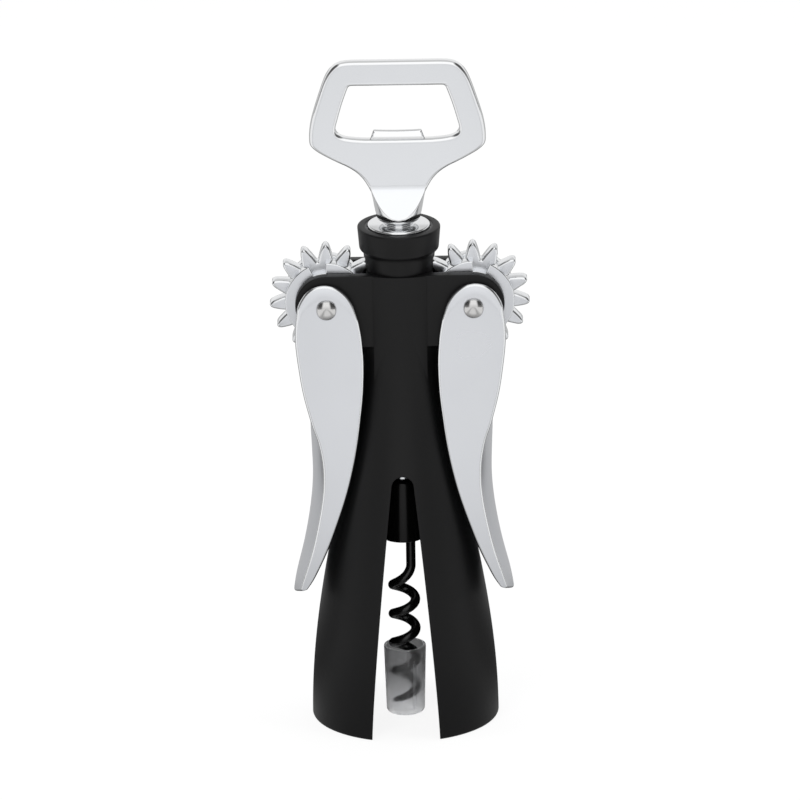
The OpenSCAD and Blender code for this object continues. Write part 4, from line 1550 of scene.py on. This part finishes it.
@dataclass
class Studio:
    """The floor, the light and the camera.

    Attributes:
        elevation: How far the camera looks down, in degrees.
        roll: How far the picture is turned, in degrees.
        view: Width in metres that the picture covers at the corkscrew.
        lens: Focal length in millimetres on a 36 mm sensor.
        target: Point in metres at the middle of the picture.
    """

    elevation: float = 19.6
    roll: float = -0.85
    view: float = 0.2316
    lens: float = 1200.0
    target: tuple[float, float, float] = (-0.00038, 0.0, 0.0958)

    def camera(self) -> None:
        """Places the camera where the photograph was taken from, and makes it the scene's."""
        sensor = 36.0
        data = bpy.data.cameras.new("camera")
        data.lens, data.sensor_width = self.lens, sensor
        data.clip_start, data.clip_end = 0.1, 20.0
        camera = bpy.data.objects.new("camera", data)
        bpy.context.scene.collection.objects.link(camera)
        tilt = math.radians(self.elevation)
        distance = self.view * self.lens / sensor
        back = Vector((0.0, -math.cos(tilt), math.sin(tilt)))
        turn = Matrix.Rotation(math.pi / 2 - tilt, 4, "X")
        turn = turn @ Matrix.Rotation(math.radians(self.roll), 4, "Z")
        camera.matrix_world = Matrix.Translation(Vector(self.target) + back * distance) @ turn
        bpy.context.scene.camera = camera

    def floor(self) -> None:
        """Makes the floor: white to the camera, with a faint shadow; to reflections it glows in soft tones
        set by place, a painted reflection.
        """
        far, low = 4000.0, -0.05
        ring = np.array([[-far, -far, low], [far, -far, low], [far, far, low], [-far, far, low]])
        floor = Solid().lid(ring).made("floor")
        material = bpy.data.materials.new("studio floor")
        tree = blank_tree(material)
        path = tree.add("ShaderNodeLightPath")
        place = tree.add("ShaderNodeTexCoord").outputs["Object"]
        tone = tree.ramp(tree.noise(place, 6.0, 2.0), 0.3, 0.7, 0.84, 0.86)
        colour = tree.add("ShaderNodeCombineColor", Red=tone, Green=tone, Blue=tone)
        matt = tree.add("ShaderNodeBsdfDiffuse", Color=colour.outputs[0])
        split = tree.add("ShaderNodeSeparateXYZ", Vector=place)
        across, along = tree.calc("ABSOLUTE", split.outputs["X"], 0.0), split.outputs["Y"]
        # Painted reflection: glossy rays see the floor as a glow whose strength is set by place, in darker
        # and lighter zones round the corkscrew.
        before = tree.ramp(along, -0.02, 0.03, 1.0, 0.0)
        far_off, close = tree.ramp(along, -0.6, -0.42, 0.34, 0.43), tree.ramp(along, -0.2, -0.07, 1.0, -0.3)
        depth = tree.times(far_off, close)
        middle = tree.times(tree.ramp(across, 0.05, 0.085, 1.0, 0.0), depth)
        side = tree.ramp(across, 0.1, 0.16, 0.0, 0.45)
        rear = tree.plus(tree.ramp(along, 0.0, 0.03, 0.56, 0.1), tree.ramp(along, 0.08, 0.13, 0.0, 0.46))
        shine = tree.plus(tree.times(before, tree.plus(middle, side)), rear)
        glossy = path.outputs["Is Glossy Ray"]
        strength = tree.blend(glossy, 1.0, shine)
        white = tree.add("ShaderNodeEmission", Color=(1, 1, 1, 1), Strength=strength)
        share = tree.plus(tree.times(tree.shown(path), 0.9), glossy)
        mixed = tree.add("ShaderNodeMixShader")
        tree.feed(mixed.inputs[0], tree.calc("MINIMUM", share, 1.0))
        tree.feed(mixed.inputs[1], matt.outputs[0])
        tree.feed(mixed.inputs[2], white.outputs[0])
        tree.add("ShaderNodeOutputMaterial", Surface=mixed.outputs[0])
        floor.data.materials.append(material)

    def world(self) -> None:
        """Sets the surroundings: white to the camera, and a studio with a darker room in reflections."""
        world = bpy.data.worlds.new("studio")
        tree = blank_tree(world)
        path = tree.add("ShaderNodeLightPath")
        place = tree.add("ShaderNodeTexCoord").outputs["Generated"]
        split = tree.add("ShaderNodeSeparateXYZ", Vector=place)
        x, y, z = (split.outputs[axis] for axis in "XYZ")
        strip = tree.ramp(tree.calc("ABSOLUTE", x, 0.0), 0.35, 0.6, 1.0, 0.0)
        strip = tree.times(strip, tree.ramp(y, -0.1, 0.1, 1.0, 0.55))
        strip = tree.times(strip, tree.ramp(z, 0.0, 0.4, 0.95, 1.25))
        behind = tree.times(tree.ramp(y, 0.0, 0.3, 0.0, 1.0), tree.ramp(z, 0.35, 0.5, 0.95, 0.0))
        room = tree.ramp(z, 0.1, 0.3, 0.3, 0.1)
        reflected = tree.calc("MAXIMUM", tree.calc("MAXIMUM", strip, behind), room)
        seen = tree.shown(path)
        glossy = path.outputs["Is Glossy Ray"]
        bright = tree.times(glossy, reflected)
        dull = tree.times(tree.calc("SUBTRACT", 1.0, glossy), 0.55)
        strength = tree.blend(seen, tree.plus(bright, dull), 1.0)
        background = tree.add("ShaderNodeBackground", Color=(1, 1, 1, 1), Strength=strength)
        tree.add("ShaderNodeOutputWorld", Surface=background.outputs[0])
        bpy.context.scene.world = world

    def lamp(self, name: str, place: Sequence[float], size: tuple[float, float], power: float) -> None:
        """Adds a soft rectangular lamp that faces the corkscrew.

        Args:
            name: The lamp's name.
            place: Its place in metres.
            size: Its width and height in metres.
            power: Its power in watts.
        """
        data = bpy.data.lights.new(name, "AREA")
        data.shape, data.size, data.size_y, data.energy = "RECTANGLE", size[0], size[1], power
        lamp = bpy.data.objects.new(name, data)
        lamp.visible_glossy = False
        bpy.context.scene.collection.objects.link(lamp)
        aim = Vector(self.target) - Vector(place)
        facing = aim.to_track_quat("-Z", "Y").to_matrix().to_4x4()
        lamp.matrix_world = Matrix.Translation(Vector(place)) @ facing

    def build(self) -> None:
        """Sets up the whole studio."""
        bpy.context.scene.view_settings.view_transform = "Standard"
        self.camera()
        self.floor()
        self.world()
        self.lamp("key", (-0.5, -1.0, 1.1), size=(0.5, 0.35), power=9.0)
        self.lamp("top", (0.15, 0.25, 1.3), size=(0.9, 0.6), power=10.0)
        self.lamp("right", (1.1, -0.5, 0.6), size=(0.35, 0.8), power=5.0)
        self.lamp("left", (-1.15, -0.2, 0.5), size=(0.35, 0.8), power=5.0)
        LOG.info("studio: camera at %s mm, roll %s degrees", self.lens, self.roll)


def main() -> None:
    """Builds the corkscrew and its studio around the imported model."""
    logging.basicConfig(level=logging.INFO, format="%(name)s: %(message)s")
    for thing in list(bpy.data.objects):
        bpy.data.objects.remove(thing)
    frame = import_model()
    pivots = {j["name"]: Vector(j["pos_m"]) for j in frame["joints"] if "pos_m" in j}
    BodyMoulding().build()
    TopCollar().build()
    OpenerHandle().build()
    for side in Side:
        pivot = pivots[f"{side.label}_pivot"]
        WingLever(side).build(pivot)
        PivotPin(side).build(pivot)
    screw = Screw()
    screw.build_hub()
    screw.build_worm()
    screw.build_cap()
    dress_inner_works(frame["nodes"])
    Studio().build()


if __name__ == "__main__":
    main()
